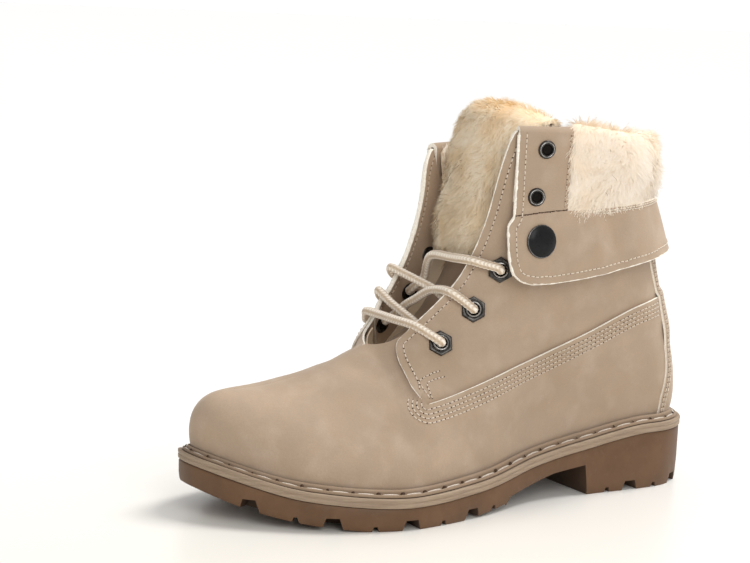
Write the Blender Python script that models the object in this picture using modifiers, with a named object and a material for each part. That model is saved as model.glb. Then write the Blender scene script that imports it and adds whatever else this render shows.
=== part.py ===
"""Lace-up ankle boot with a snapped fold-down fleece cuff, left foot, empty on its sole.

Lengths below are millimetres and are turned into metres when a mesh is made.
A point is (x, d, z): x to the outer side, d from the back of the sole towards the toe,
z up from the ground. In the scene the toe points along -Y and the origin is on the
ground in the middle of the heel's flat.
"""

from collections import namedtuple
from functools import lru_cache
from math import cos, pi, sin

import bmesh
import bpy
import numpy as np
from mathutils import Matrix, Vector

# ---------------------------------------------------------------- driving dimensions
MM = 0.001
CLEARANCE = 0.35
SOLE_LENGTH = 275.0
HEEL_SEAT = 38.0
HEEL_HALF = 35.0
WAIST_OUTER = 37.3
WAIST_INNER = 30.1
BALL_OUTER = 56.5
BALL_INNER = 47.9
TOE_OUTER = 44.1
TOE_INNER = 38.9
TOE_APEX = -9.4

MIDSOLE_THICKNESS = 4.5
WELT_OUTER_INSET = 2.0
WELT_GAP = 1.1
INSOLE_THICKNESS = 3.0
INSOLE_GAP = 3.2

BREAST = 74.0
SHANK_CUT_END = 129.5
NOTCH_REACH = 14.0
NOTCH_FLARE = 2.4
NOTCH_TOP_SHARE = 0.72
BELOW_GROUND = -6.0

CUFF_THICKNESS = 2.0
TAB_END = 103.5
CUFF_LOW = 111.0
CUFF_SEAM = 145.0
TAB_TOP = 183.0
CUFF_BACK_SHARE = 0.60
CUFF_BACK_STANDOFF = 0.75
INNER_CUFF_DROP = 8.0
INNER_TAB_SHARE = 0.87

SNAP_RADIUS = 8.3
HEX_ACROSS_FLATS = 11.0
ROUND_EYELET_RADIUS = 4.7
LACE_DIAMETER = 4.5
LACE_GAP = 0.5
HARDWARE_LIFT = 0.85

# ---------------------------------------------------------------- tables
Level = namedtuple("Level", "d z")
SOLE_LINE = (  # upper edge of the outsole: heel pitch, arch and toe spring
    Level(0, 28.5),
    Level(35, 28.6),
    Level(75, 23.2),
    Level(110, 17.9),
    Level(150, 12.2),
    Level(190, 10.2),
    Level(235, 13.3),
    Level(275, 24.2),
)
TREAD_LINE = (  # ground side of the lugs
    Level(0, 0.0),
    Level(129, 0.0),
    Level(130, 3.2),
    Level(142, 1.7),
    Level(162, 0.0),
    Level(206, 0.0),
    Level(222, 1.2),
    Level(240, 3.6),
    Level(257, 7.6),
    Level(275, 14.6),
)
SHANK_LINE = (  # underside of the waist, in front of the heel's breast
    Level(BREAST + 2.0, 15.4),
    Level(96, 13.2),
    Level(110, 10.0),
    Level(127, 6.6),
    Level(SHANK_CUT_END, 3.6),
)

Plan = namedtuple("Plan", "x d")
OUTER_PLAN = (  # outer side of the sole, from toe to heel
    Plan(0.60 * TOE_APEX + 0.28 * TOE_OUTER, 270),
    Plan(0.38 * TOE_APEX + 0.62 * TOE_OUTER, 256),
    Plan(TOE_OUTER, 230),
    Plan(0.985 * BALL_OUTER, 200),
    Plan(BALL_OUTER, 180),
    Plan(0.45 * WAIST_OUTER + 0.55 * BALL_OUTER + 0.5, 140),
    Plan(WAIST_OUTER, 105),
    Plan(0.99 * HEEL_HALF, 70),
    Plan(HEEL_HALF, 42),
    Plan(0.93 * HEEL_HALF, 22),
    Plan(0.62 * HEEL_HALF, 6.5),
)
INNER_PLAN = (  # inner side of the sole, from heel to toe
    Plan(-0.62 * HEEL_HALF, 6.5),
    Plan(-0.92 * HEEL_HALF, 22),
    Plan(-0.98 * HEEL_HALF, 42),
    Plan(-0.93 * HEEL_HALF, 70),
    Plan(-WAIST_INNER, 110),
    Plan(-0.55 * WAIST_INNER - 0.45 * BALL_INNER, 140),
    Plan(-0.97 * BALL_INNER, 175),
    Plan(-BALL_INNER, 195),
    Plan(-1.12 * TOE_INNER, 235),
    Plan(-0.90 * TOE_INNER, 255),
    Plan(0.60 * TOE_APEX - 0.40 * TOE_INNER - 2, 271.5),
)

Notch = namedtuple("Notch", "width depth stations")
NOTCHES = (  # cuts in the tread's edge, at their places along the sole
    Notch(8.6, 3.8, (14.5, 47.0, 153.5, 190.5, 226.5, 257.5)),
    Notch(2.4, 1.9, (31.0, 61.0, 139.0, 172.0, 208.0, 241.0)),
)
Channel = namedtuple("Channel", "d half_length half_width depth")
CHANNELS = (  # cross grooves in the middle of the tread
    Channel(17.0, 13.0, 2.0, 3.0),
    Channel(58.0, 13.0, 2.0, 3.0),
    Channel(153.5, 18.0, 2.2, 3.2),
    Channel(172.0, 18.0, 1.6, 2.4),
    Channel(190.5, 18.0, 2.2, 3.2),
    Channel(208.0, 18.0, 1.6, 2.4),
    Channel(226.5, 15.0, 2.2, 3.2),
)

Rib = namedtuple("Rib", "foot top_x top_d top_z swell rise reach_x reach_d reach_z wall")
# foot: share of the half outline from toe to heel; top: where the rib ends, on the ridge,
# the throat edge or the collar; swell and rise: how far the rib leaves its foot outwards
# and upwards; reach: the way in which it arrives at its top; wall: thickness at the top.
SHARED_RIDGE = (
    Rib(0.00, -8, 252.0, 57.6, 6, 20, 0, 16, 1.0, 2.4),
    Rib(0.10, -6, 238.0, 58.8, 5, 20, 17, 14, 0.5, 2.4),
    Rib(0.20, -4, 217.0, 63.3, 4, 21, 21, 4, -0.5, 2.4),
    Rib(0.30, -3, 197.0, 70.5, 5, 23, 22, 1, -1.5, 2.6),
    Rib(0.345, -3, 185.5, 75.6, 5, 24, 21, -1, -4.0, 2.8),
)
OUTER_RIBS = SHARED_RIDGE + (
    Rib(0.37, 4, 181.5, 77.0, 5, 24, 20, -2, -7.0, 3.0),
    Rib(0.395, 10, 177.5, 79.5, 5, 25, 19, -3, -10.0, 3.0),
    Rib(0.44, 15, 170.0, 86.0, 4, 26, 18, -5, -16.0, 3.2),
    Rib(0.49, 17, 159.0, 96.5, 3, 27, 17, -8, -22.0, 3.2),
    Rib(0.54, 20, 146.0, 112.0, 2, 28, 15, -10, -30.0, 3.4),
    Rib(0.59, 26, 138.5, 135.0, 1, 30, 10, -13, -38.0, 3.6),
    Rib(0.64, 35, 134.5, 170.0, 1, 32, 3, -15, -52.0, 3.8),
    Rib(0.67, 38, 130.0, 181.5, 1, 33, 0, -15, -57.0, 4.2),
    Rib(0.75, 43, 106.0, 182.0, 2, 34, -4, -14, -60.0, 5.0),
    Rib(0.83, 43, 78.0, 179.5, 4, 36, -6, -9, -57.0, 5.0),
    Rib(0.91, 31.5, 46.5, 176.5, 9, 32, -5, 4, -50.0, 5.0),
    Rib(0.96, 16, 36.5, 174.5, 10.5, 29, -2.5, 8, -44.0, 5.0),
    Rib(1.00, 0, 33.0, 174.0, 11.5, 28, 0, 10.0, -42.0, 5.0),
)
INNER_RIBS = tuple(row._replace(reach_x=-row.reach_x) for row in SHARED_RIDGE) + (
    Rib(0.37, -10, 181.5, 77.0, 4, 24, -20, -2, -7.0, 3.0),
    Rib(0.395, -16, 177.5, 79.5, 4, 25, -19, -3, -10.0, 3.0),
    Rib(0.44, -21, 169.5, 86.0, 4, 26, -18, -5, -16.0, 3.2),
    Rib(0.49, -24, 160.5, 99.0, 3, 27, -16, -8, -22.0, 3.2),
    Rib(0.54, -25, 150.5, 116.0, 2, 28, -14, -10, -30.0, 3.4),
    Rib(0.59, -28, 142.5, 137.0, 1, 30, -10, -13, -38.0, 3.6),
    Rib(0.64, -33, 136.5, 160.0, 1, 32, -3, -15, -47.0, 3.8),
    Rib(0.67, -36, 131.0, 166.5, 1, 33, 0, -15, -49.0, 4.2),
    Rib(0.75, -42, 106.0, 167.5, 2, 34, 4, -14, -52.0, 5.0),
    Rib(0.83, -43, 78.0, 170.0, 4, 36, 6, -9, -53.0, 5.0),
    Rib(0.91, -31.5, 46.5, 172.5, 9, 32, 5, 4, -48.0, 5.0),
    Rib(0.96, -16, 36.5, 173.5, 10.5, 29, 2.5, 8, -43.5, 5.0),
    Rib(1.00, 0, 33.0, 174.0, 11.5, 28, 0, 10.0, -42.0, 5.0),
)


def joined(ribs, other):
    """Ribs of one side with the other side's next rib beyond the toe and the heel."""
    before = other[1]._replace(foot=-other[1].foot)
    beyond = other[-2]._replace(foot=2 - other[-2].foot)
    return (before, *ribs, beyond)


RIBS = {"lateral": joined(OUTER_RIBS, INNER_RIBS), "medial": joined(INNER_RIBS, OUTER_RIBS)}
SIGN = {"lateral": 1.0, "medial": -1.0}
FOOT_WALL = 2.2
BOX_FACES = ((0, 1, 3, 2), (4, 5, 7, 6), (0, 1, 5, 4), (2, 3, 7, 6), (0, 2, 6, 4), (1, 3, 7, 5))

Step = namedtuple("Step", "share rise")
WELT_SECTION = (  # share of the way from outer to inner edge, height over the midsole
    Step(0.0, CLEARANCE + 0.1),
    Step(0.0, 1.3),
    Step(0.5, 1.5),
    Step(0.72, 2.9),
    Step(0.94, 2.9),
    Step(1.0, 2.0),
    Step(1.0, CLEARANCE + 0.1),
)

Edge = namedtuple("Edge", "z d")
CUFF_FRONT = (  # front edge of the turned-down cuff, with its rounded lower corner
    Edge(CUFF_LOW, 121.0),
    Edge(112.5, 127.0),
    Edge(116.5, 131.0),
    Edge(126.0, 133.0),
    Edge(CUFF_SEAM, 132.5),
    Edge(TAB_TOP, 131.5),
)
Gap = namedtuple("Gap", "z off")
CUFF_STANDOFF = (  # how far the inside of the cuff stands off the shaft
    Gap(CUFF_LOW, 8.0),
    Gap(130.0, 5.4),
    Gap(CUFF_SEAM, 3.2),
    Gap(165.0, 1.3),
    Gap(TAB_TOP, 0.7),
)
Slice = namedtuple("Slice", "off rise")
FLEECE_SECTION = (  # rise is a share of the height from the cuff seam to the fleece's crown
    Slice(4.0, 0.00),
    Slice(6.6, 0.10),
    Slice(7.4, 0.40),
    Slice(6.6, 0.72),
    Slice(3.6, 0.95),
    Slice(-0.6, 1.00),
    Slice(-5.0, 0.92),
)
FLEECE_RISE = 8.0
FLEECE_BACK_RISE = 4.5

Seat = namedtuple("Seat", "x d z")
HEX_EYELETS = {
    "lateral": (Seat(26, 160.0, 80.1), Seat(28, 143.4, 96.0), Seat(31, 131.3, 114.9)),
    "medial": (Seat(-29, 159.0, 80.0), Seat(-31, 145.0, 96.0), Seat(-34, 133.5, 113.5)),
}
ROUND_EYELETS = (Edge(150.8, 120.0), Edge(173.5, 117.0))
SNAP_SEAT = Edge(129.4, 117.0)

Ring = namedtuple("Ring", "radius height")
HEX_FLANGE = (Ring(1.0, 0.0), Ring(0.92, 1.3))  # radius: share of the flats
HEX_LIP = (Ring(3.9, 1.3), Ring(3.6, 1.9), Ring(2.9, 1.9), Ring(2.6, 0.0))
ROUND_PROFILE = (
    Ring(ROUND_EYELET_RADIUS - 0.2, 0.0),
    Ring(ROUND_EYELET_RADIUS, 0.6),
    Ring(ROUND_EYELET_RADIUS - 0.7, 1.3),
    Ring(3.0, 1.3),
    Ring(2.6, 0.0),
)
SNAP_PROFILE = (
    Ring(SNAP_RADIUS - 0.5, 0.0),
    Ring(SNAP_RADIUS, 0.7),
    Ring(SNAP_RADIUS - 0.7, 1.4),
    Ring(0.67 * SNAP_RADIUS, 1.9),
    Ring(0.34 * SNAP_RADIUS, 2.15),
)

Fold = namedtuple("Fold", "d z half_width drop_d drop_z")
TONGUE_PATH = (  # middle of the tongue from under the vamp, up, and folded forwards
    Fold(188.0, 66.6, 12.0, 0.0, 3.0),
    Fold(176.0, 70.0, 14.0, 0.5, 4.0),
    Fold(158.0, 79.0, 18.0, 3.0, 4.0),
    Fold(143.0, 93.5, 20.0, 4.5, 2.5),
    Fold(132.0, 110.0, 22.0, 6.0, 1.0),
    Fold(127.5, 126.0, 24.0, 7.0, 0.0),
    Fold(125.0, 148.0, 27.0, 8.0, 0.0),
    Fold(120.0, 170.0, 29.0, 9.0, 0.0),
    Fold(114.5, 184.0, 29.0, 9.0, 0.0),
    Fold(117.0, 191.0, 28.5, 9.0, 0.5),
    Fold(123.5, 188.0, 28.5, 8.5, 0.5),
    Fold(129.0, 173.0, 28.5, 8.0, 0.0),
    Fold(134.0, 150.0, 26.0, 7.0, 0.0),
    Fold(136.3, 132.0, 23.5, 6.0, 0.0),
    Fold(136.5, 121.0, 20.0, 5.0, 0.0),
)
TONGUE_CENTRE = -2.5
TONGUE_THICKNESS = 6.4

Strand = namedtuple("Strand", "x d z")
LACE_BARS = {  # strands from near an outer eyelet over the throat, and those joined to them
    "lace_lower": (
        (
            Strand(23, 168.5, 89.0),
            Strand(12, 172.0, 92.0),
            Strand(-4, 173.5, 93.0),
            Strand(-17, 173.5, 92.5),
            Strand(-27, 172.0, 90.5),
        ),
        (
            Strand(-30, 167.5, 99.5),
            Strand(-22, 169.0, 97.5),
            Strand(-12, 170.5, 95.0),
            Strand(-3, 170.5, 92.0),
            Strand(3, 169.5, 90.0),
            Strand(7, 168.5, 89.0),
        ),
    ),
    "lace_middle": (
        (
            Strand(27, 152.5, 103.5),
            Strand(20, 157.5, 105.0),
            Strand(12, 159.0, 105.0),
            Strand(3, 158.0, 103.0),
            Strand(-5, 157.0, 99.0),
            Strand(-13, 156.5, 94.5),
        ),
        (
            Strand(-32, 158.5, 112.0),
            Strand(-22, 159.5, 110.0),
            Strand(-11, 159.0, 107.0),
            Strand(-2, 157.5, 104.0),
            Strand(4, 155.5, 102.0),
        ),
    ),
    "lace_upper": (
        (
            Strand(31, 141.0, 120.5),
            Strand(24, 147.0, 121.0),
            Strand(14, 149.5, 120.5),
            Strand(3, 149.5, 119.0),
            Strand(-7, 149.0, 118.0),
            Strand(-13, 148.0, 114.0),
            Strand(-15, 147.5, 108.5),
        ),
    ),
}

Paint = namedtuple("Paint", "colour roughness metallic")
PAINTS = {
    "sole_rubber": Paint((0.20, 0.125, 0.075), 0.6, 0.0),
    "midsole_rubber": Paint((0.42, 0.31, 0.21), 0.55, 0.0),
    "nubuck": Paint((0.50, 0.39, 0.29), 0.75, 0.0),
    "fleece": Paint((0.80, 0.70, 0.52), 0.95, 0.0),
    "lining": Paint((0.66, 0.55, 0.40), 0.9, 0.0),
    "gunmetal": Paint((0.12, 0.12, 0.125), 0.3, 1.0),
    "snap_metal": Paint((0.02, 0.02, 0.022), 0.25, 1.0),
    "lace_cord": Paint((0.66, 0.56, 0.44), 0.85, 0.0),
}


# ---------------------------------------------------------------- curves and surfaces
def through(x, xs, ys):
    """Smooth curve through the points (xs, ys) that never overshoots them."""
    xs = np.asarray(xs, float)
    ys = np.asarray(ys, float)
    step = np.diff(xs)
    rise = np.diff(ys) / step
    slope = np.empty(len(xs))
    slope[0] = rise[0]
    slope[-1] = rise[-1]
    before = rise[:-1]
    after = rise[1:]
    same_way = before * after > 0
    mean = np.where(same_way, 2 * before * after / np.where(same_way, before + after, 1), 0)
    slope[1:-1] = mean
    i = np.clip(np.searchsorted(xs, x, side="right") - 1, 0, len(step) - 1)
    u = np.clip((x - xs[i]) / step[i], 0, 1)
    start = (1 + 2 * u) * (1 - u) ** 2 * ys[i] + u * (1 - u) ** 2 * step[i] * slope[i]
    end = u**2 * (3 - 2 * u) * ys[i + 1] - u**2 * (1 - u) * step[i] * slope[i + 1]
    return start + end


def table(rows, key, value, x):
    """Value column of a table at x, read from the rows' key column."""
    keys = [getattr(row, key) for row in rows]
    values = [getattr(row, value) for row in rows]
    return through(x, keys, values)


def sole_top(d):
    return table(SOLE_LINE, "d", "z", d)


def tread(d):
    return table(TREAD_LINE, "d", "z", d)


def midsole_top(d):
    return sole_top(d) + CLEARANCE + MIDSOLE_THICKNESS


def smooth_closed(points, per_span):
    """Closed curve through points, with tangents from each point's two neighbours."""
    points = np.asarray(points, float)
    count = len(points)
    spans = np.linalg.norm(np.roll(points, -1, axis=0) - points, axis=1)
    out = []
    for i in range(count):
        here = points[i]
        there = points[(i + 1) % count]
        before = points[i - 1]
        beyond = points[(i + 2) % count]
        span = spans[i]
        leave = (there - before) / (span + spans[i - 1]) * span
        arrive = (beyond - here) / (span + spans[(i + 1) % count]) * span
        for u in np.arange(per_span) / per_span:
            a = (1 + 2 * u) * (1 - u) ** 2
            b = u * (1 - u) ** 2
            c = u**2 * (3 - 2 * u)
            e = -(u**2) * (1 - u)
            out.append(a * here + b * leave + c * there + e * arrive)
    return np.array(out)


def sole_outline():
    """Half outlines from toe to heel, as (points, outward normals, running length)."""
    per_span = 16
    ring = (Plan(TOE_APEX, SOLE_LENGTH), *OUTER_PLAN, Plan(0, 0), *INNER_PLAN)
    loop = smooth_closed(ring, per_span)
    half = (len(OUTER_PLAN) + 1) * per_span
    closed = np.vstack([loop, loop[:1]])
    tangent = np.roll(loop, -1, axis=0) - np.roll(loop, 1, axis=0)
    normal = np.column_stack([-tangent[:, 1], tangent[:, 0]])
    normal /= np.linalg.norm(normal, axis=1)[:, None]
    normal = np.vstack([normal, normal[:1]])
    halves = {}
    for side, part in (("lateral", slice(0, half + 1)), ("medial", slice(half, None))):
        points = closed[part]
        normals = normal[part]
        if side == "medial":
            points = points[::-1]
            normals = normals[::-1]
        steps = np.linalg.norm(np.diff(points, axis=0), axis=1)
        halves[side] = (points, normals, np.concatenate([[0], np.cumsum(steps)]))
    return halves


OUTLINE = sole_outline()


@lru_cache(maxsize=None)
def edge_at(side, foot, inset):
    """Point (x, d) of the sole's outline moved inwards, and the outward direction."""
    points, normals, length = OUTLINE[side]
    where = foot * length[-1]
    x, d = (np.interp(where, length, points[:, k]) for k in (0, 1))
    n = np.array([np.interp(where, length, normals[:, k]) for k in (0, 1)])
    n /= np.linalg.norm(n)
    return np.array([x, d]) - inset * n, n


def feather_inset(foot):
    """How far inside the sole's outline the upper stands."""
    return through(foot, (0.0, 0.15, 0.85, 1.0), (6.0, 7.8, 7.8, 6.4))


@lru_cache(maxsize=None)
def rib_at(side, foot):
    ribs = RIBS[side]
    return Rib(foot, *(table(ribs, "foot", name, foot) for name in Rib._fields[1:]))


@lru_cache(maxsize=None)
def rib_handles(side, foot):
    """Foot, way out, way in and top of a rib, the four handles of its curve."""
    rib = rib_at(side, foot)
    (x, d), n = edge_at(side, foot, feather_inset(foot))
    base = np.array([x, d, midsole_top(d) + CLEARANCE])
    leave = base + np.array([n[0] * rib.swell, n[1] * rib.swell, rib.rise])
    top = np.array([rib.top_x, rib.top_d, rib.top_z])
    arrive = top + np.array([rib.reach_x, rib.reach_d, rib.reach_z])
    return base, leave, arrive, top


def upper_point(side, foot, t, standoff=0.0):
    """Outside of the upper at share t of a rib, from the feather line to its top."""
    base, leave, arrive, top = rib_handles(side, foot)
    a, b, c, e = (1 - t) ** 3, 3 * t * (1 - t) ** 2, 3 * t**2 * (1 - t), t**3
    point = a * base + b * leave + c * arrive + e * top
    if standoff:
        point = point + standoff * upper_normal(side, foot, t)
    return point


def upper_normal(side, foot, t):
    step = 0.004
    low = max(foot - step, 0.0)
    high = min(foot + step, 1.0)
    along = upper_point(side, high, t) - upper_point(side, low, t)
    up = upper_point(side, foot, min(t + step, 1)) - upper_point(side, foot, max(t - step, 0))
    normal = np.cross(up, along) * SIGN[side]
    return normal / np.linalg.norm(normal)


def halve(low, high, is_low):
    """Value between low and high where is_low turns false."""
    for _ in range(24):
        middle = (low + high) / 2
        if is_low(middle):
            low = middle
        else:
            high = middle
    return (low + high) / 2


@lru_cache(maxsize=None)
def shaft_point(side, foot, z):
    """Outside of the shaft on one rib at a height, or its top if that is lower."""
    t = halve(0.0, 1.0, lambda t: upper_point(side, foot, t)[2] < z)
    return upper_point(side, foot, t)


@lru_cache(maxsize=None)
def shaft_out(side, foot, z):
    """Level outward direction of the shaft."""
    step = 0.01
    ahead = shaft_point(side, max(foot - step, 0.60), z)
    behind = shaft_point(side, min(foot + step, 1.0), z)
    along = behind - ahead
    out = np.array([along[1], -along[0], 0.0]) * -SIGN[side]
    return out / np.linalg.norm(out)


def ring_point(side, foot, z, off):
    """Point at a level distance off the shaft."""
    return shaft_point(side, foot, z) + off * shaft_out(side, foot, z)


def ring_foot(side, d, z, off):
    """Rib on which a ring off the shaft passes d."""
    return halve(0.60, 1.0, lambda foot: ring_point(side, foot, z, off)[1] > d)


def cuff_height(side, share, z):
    """Height of the cuff's nominal level z at a share of the way from front to back."""
    inner = side == "medial"
    ease = (1 + cos(pi * share)) / 2
    seam = CUFF_SEAM - (INNER_CUFF_DROP * ease if inner else 0.0)
    if z > CUFF_SEAM:
        return seam + (z - CUFF_SEAM) * (INNER_TAB_SHARE if inner else 1.0)
    return seam - (CUFF_SEAM - z) * (CUFF_BACK_SHARE + (1 - CUFF_BACK_SHARE) * ease)


def cuff_point(side, share, z, d_front, extra=0.0):
    """Inside of the cuff (or further out by extra) at a share of the way to the back."""
    level = cuff_height(side, share, z)
    off = table(CUFF_STANDOFF, "z", "off", z)
    front = ring_foot(side, d_front, cuff_height(side, 0.0, z), off + extra)
    if z < CUFF_SEAM:
        off *= through(share, (0.0, 0.4, 1.0), (1.0, 1.0, CUFF_BACK_STANDOFF))
    return ring_point(side, front + share * (1.0 - front), level, off + extra)


def cuff_share(side, d, z, d_front):
    """Share of the way to the back at which the cuff passes d."""
    return halve(0.0, 1.0, lambda share: cuff_point(side, share, z, d_front)[1] > d)


def cuff_front(z):
    return table(CUFF_FRONT, "z", "d", z)


def nearest_on_upper(side, seat):
    """Rib share and t of the outside's nearest point to a seat."""
    target = np.array(seat)
    best = (1e9, 0.5, 0.5)
    centre, reach = (0.5, 0.7), (0.15, 0.3)
    for _ in range(5):
        for foot in centre[0] + reach[0] * np.linspace(-1, 1, 11):
            for t in np.clip(centre[1] + reach[1] * np.linspace(-1, 1, 11), 0, 1):
                gap = np.linalg.norm(upper_point(side, foot, t) - target)
                best = min(best, (gap, foot, t))
        centre = best[1:]
        reach = (reach[0] / 4, reach[1] / 4)
    return centre


# ---------------------------------------------------------------- scene helpers
def clear_scene():
    for thing in list(bpy.data.objects):
        bpy.data.objects.remove(thing, do_unlink=True)


def new_collection(name):
    collection = bpy.data.collections.new(name)
    bpy.context.scene.collection.children.link(collection)
    return collection


def paint(slot):
    material = bpy.data.materials.get(slot)
    if material is None:
        material = bpy.data.materials.new(slot)
        material.use_nodes = True
        shader = material.node_tree.nodes["Principled BSDF"]
        shader.inputs["Base Color"].default_value = (*PAINTS[slot].colour, 1.0)
        shader.inputs["Roughness"].default_value = PAINTS[slot].roughness
        shader.inputs["Metallic"].default_value = PAINTS[slot].metallic
    return material


def to_scene(points):
    """(x, d, z) in millimetres to scene metres."""
    points = np.asarray(points, float)
    turned = np.column_stack([points[:, 0], HEEL_SEAT - points[:, 1], points[:, 2]])
    return turned * MM


def add_object(name, verts, faces, slot, collection, closed=True):
    mesh = bpy.data.meshes.new(name)
    mesh.from_pydata([tuple(v) for v in to_scene(verts)], [], [tuple(f) for f in faces])
    if closed:
        work = bmesh.new()
        work.from_mesh(mesh)
        bmesh.ops.recalc_face_normals(work, faces=work.faces)
        work.to_mesh(mesh)
        work.free()
    mesh.shade_smooth()
    if slot:
        mesh.materials.append(paint(slot))
    thing = bpy.data.objects.new(name, mesh)
    collection.objects.link(thing)
    return thing


def add_cutter(name, verts, faces):
    cutter = add_object(name, verts, faces, None, CUTTERS)
    cutter.hide_render = True
    cutter.display_type = "WIRE"
    return cutter


def cut(thing, cutter):
    modifier = thing.modifiers.new(cutter.name, "BOOLEAN")
    modifier.operation = "DIFFERENCE"
    modifier.solver = "EXACT"
    modifier.object = cutter


def loop_faces(start, other, count):
    return [
        (start + i, start + (i + 1) % count, other + (i + 1) % count, other + i)
        for i in range(count)
    ]


def ladder(start, half):
    """Cap of an outline loop, in strips from its outer to its inner side."""
    count = 2 * half
    faces = [(start, start + 1, start + count - 1)]
    for i in range(1, half - 1):
        faces.append((start + i, start + i + 1, start + count - i - 1, start + count - i))
    faces.append((start + half - 1, start + half, start + half + 1))
    return faces


def outline_loop(half, inset, height):
    """Outline from toe by the outer side to the heel and back, moved in by an inset that is
    a length or a function of the foot share, at a height that is a function of d."""
    loop = []
    for i in range(2 * half):
        side, foot = ("lateral", i / half) if i <= half else ("medial", 2 - i / half)
        shift = inset(foot) if callable(inset) else inset
        (x, d), _ = edge_at(side, foot, shift)
        loop.append((x, d, height(d)))
    return loop


def plate(name, half, levels, slot):
    """Solid from outline loops: levels are (inset, height over d), bottom to top."""
    verts = []
    faces = []
    count = 2 * half
    for k, (inset, height) in enumerate(levels):
        verts += outline_loop(half, inset, height)
        if k:
            faces += loop_faces((k - 1) * count, k * count, count)
    faces += ladder(0, half)
    faces += ladder(len(verts) - count, half)
    return add_object(name, verts, faces, slot, BOOT)


def grid_faces(rows, columns, start=0):
    return [
        (
            start + r * columns + c,
            start + r * columns + c + 1,
            start + (r + 1) * columns + c + 1,
            start + (r + 1) * columns + c,
        )
        for r in range(rows - 1)
        for c in range(columns - 1)
    ]


def tube_along(rows, slot, name):
    """Solid from closed sections of equal size, with both ends capped."""
    count = len(rows[0])
    verts = [point for row in rows for point in row]
    faces = []
    for r in range(len(rows) - 1):
        faces += loop_faces(r * count, (r + 1) * count, count)
    faces.append(tuple(range(count)))
    faces.append(tuple(range(len(verts) - count, len(verts))))
    return add_object(name, verts, faces, slot, BOOT)


# ---------------------------------------------------------------- sole
def notch(side, foot, width, depth):
    """Wedge that cuts a notch in the tread's edge, wider at the ground than at its top."""
    (x, d), n = edge_at(side, foot, 0.0)
    along = np.array([-n[1], n[0]])
    ground = tread(d) + BELOW_GROUND
    top = tread(d) + depth
    spans = ((ground, width / 2 + NOTCH_FLARE), (top, NOTCH_TOP_SHARE * width / 2))
    verts = []
    for reach in (4.0, -NOTCH_REACH):
        for z, half_width in spans:
            for way in (-1, 1):
                spot = np.array([x, d]) + reach * n + way * half_width * along
                verts.append((spot[0], spot[1], z))
    return verts, BOX_FACES


def foot_share(side, d):
    """Share of the half outline at which it passes d."""
    return halve(0.0, 1.0, lambda foot: edge_at(side, foot, 0.0)[0][1] > d)


def block(across, along, up):
    """Box from its (low, high) pairs in x, d and z."""
    return [(x, d, z) for x in across for d in along for z in up], BOX_FACES


def add_joined_cutter(name, shapes):
    verts = []
    faces = []
    for shape_verts, shape_faces in shapes:
        faces += [tuple(i + len(verts) for i in face) for face in shape_faces]
        verts += shape_verts
    return add_cutter(name, verts, faces)


def outsole():
    levels = (
        (1.3, tread),
        (0.5, lambda d: 0.6 * tread(d) + 0.4 * sole_top(d)),
        (0.4, sole_top),
    )
    thing = plate("outsole", 36, levels, "sole_rubber")

    below = (Level(BREAST - 1.5, BELOW_GROUND), Level(SHANK_CUT_END + 1.0, BELOW_GROUND))
    profile = (below[0], *SHANK_LINE, below[1])
    count = len(profile)
    verts = [(x, d, z) for x in (-80.0, 80.0) for d, z in profile]
    faces = loop_faces(0, count, count) + [tuple(range(count)), tuple(range(count, 2 * count))]
    cut(thing, add_cutter("shank_cutter", verts, faces))

    shapes = [
        notch(side, foot_share(side, d), row.width, row.depth)
        for side in SIGN
        for row in NOTCHES
        for d in row.stations
    ]
    cut(thing, add_joined_cutter("notch_cutter", shapes))

    grooves = [
        block(
            (-row.half_length, row.half_length),
            (row.d - row.half_width, row.d + row.half_width),
            (BELOW_GROUND, tread(row.d) + row.depth),
        )
        for row in CHANNELS
    ]
    cut(thing, add_joined_cutter("channel_cutter", grooves))


def midsole():
    def at(height):
        return lambda d: sole_top(d) + CLEARANCE + height

    levels = ((0.3, at(0.0)), (0.0, at(1.2)), (0.0, at(3.4)), (1.0, at(MIDSOLE_THICKNESS)))
    plate("midsole", 36, levels, "midsole_rubber")


def welt():
    half = 30

    def inset_at(share):
        def inset(foot):
            inner = feather_inset(foot) - WELT_GAP
            return WELT_OUTER_INSET + share * (inner - WELT_OUTER_INSET)

        return inset

    count = 2 * half
    loops = [
        outline_loop(half, inset_at(share), lambda d, rise=rise: midsole_top(d) + rise)
        for share, rise in WELT_SECTION
    ]
    verts = [point for loop in loops for point in loop]
    faces = []
    for k in range(len(WELT_SECTION)):
        faces += loop_faces(k * count, (k + 1) % len(WELT_SECTION) * count, count)
    add_object("welt", verts, faces, "nubuck", BOOT)


def insole():
    def at(height):
        return lambda d: midsole_top(d) + height

    def inset(foot):
        return feather_inset(foot) + INSOLE_GAP

    levels = (
        (inset, at(CLEARANCE + 0.1)),
        (inset, at(CLEARANCE + 0.1 + INSOLE_THICKNESS)),
    )
    plate("insole", 24, levels, "lining")


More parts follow.
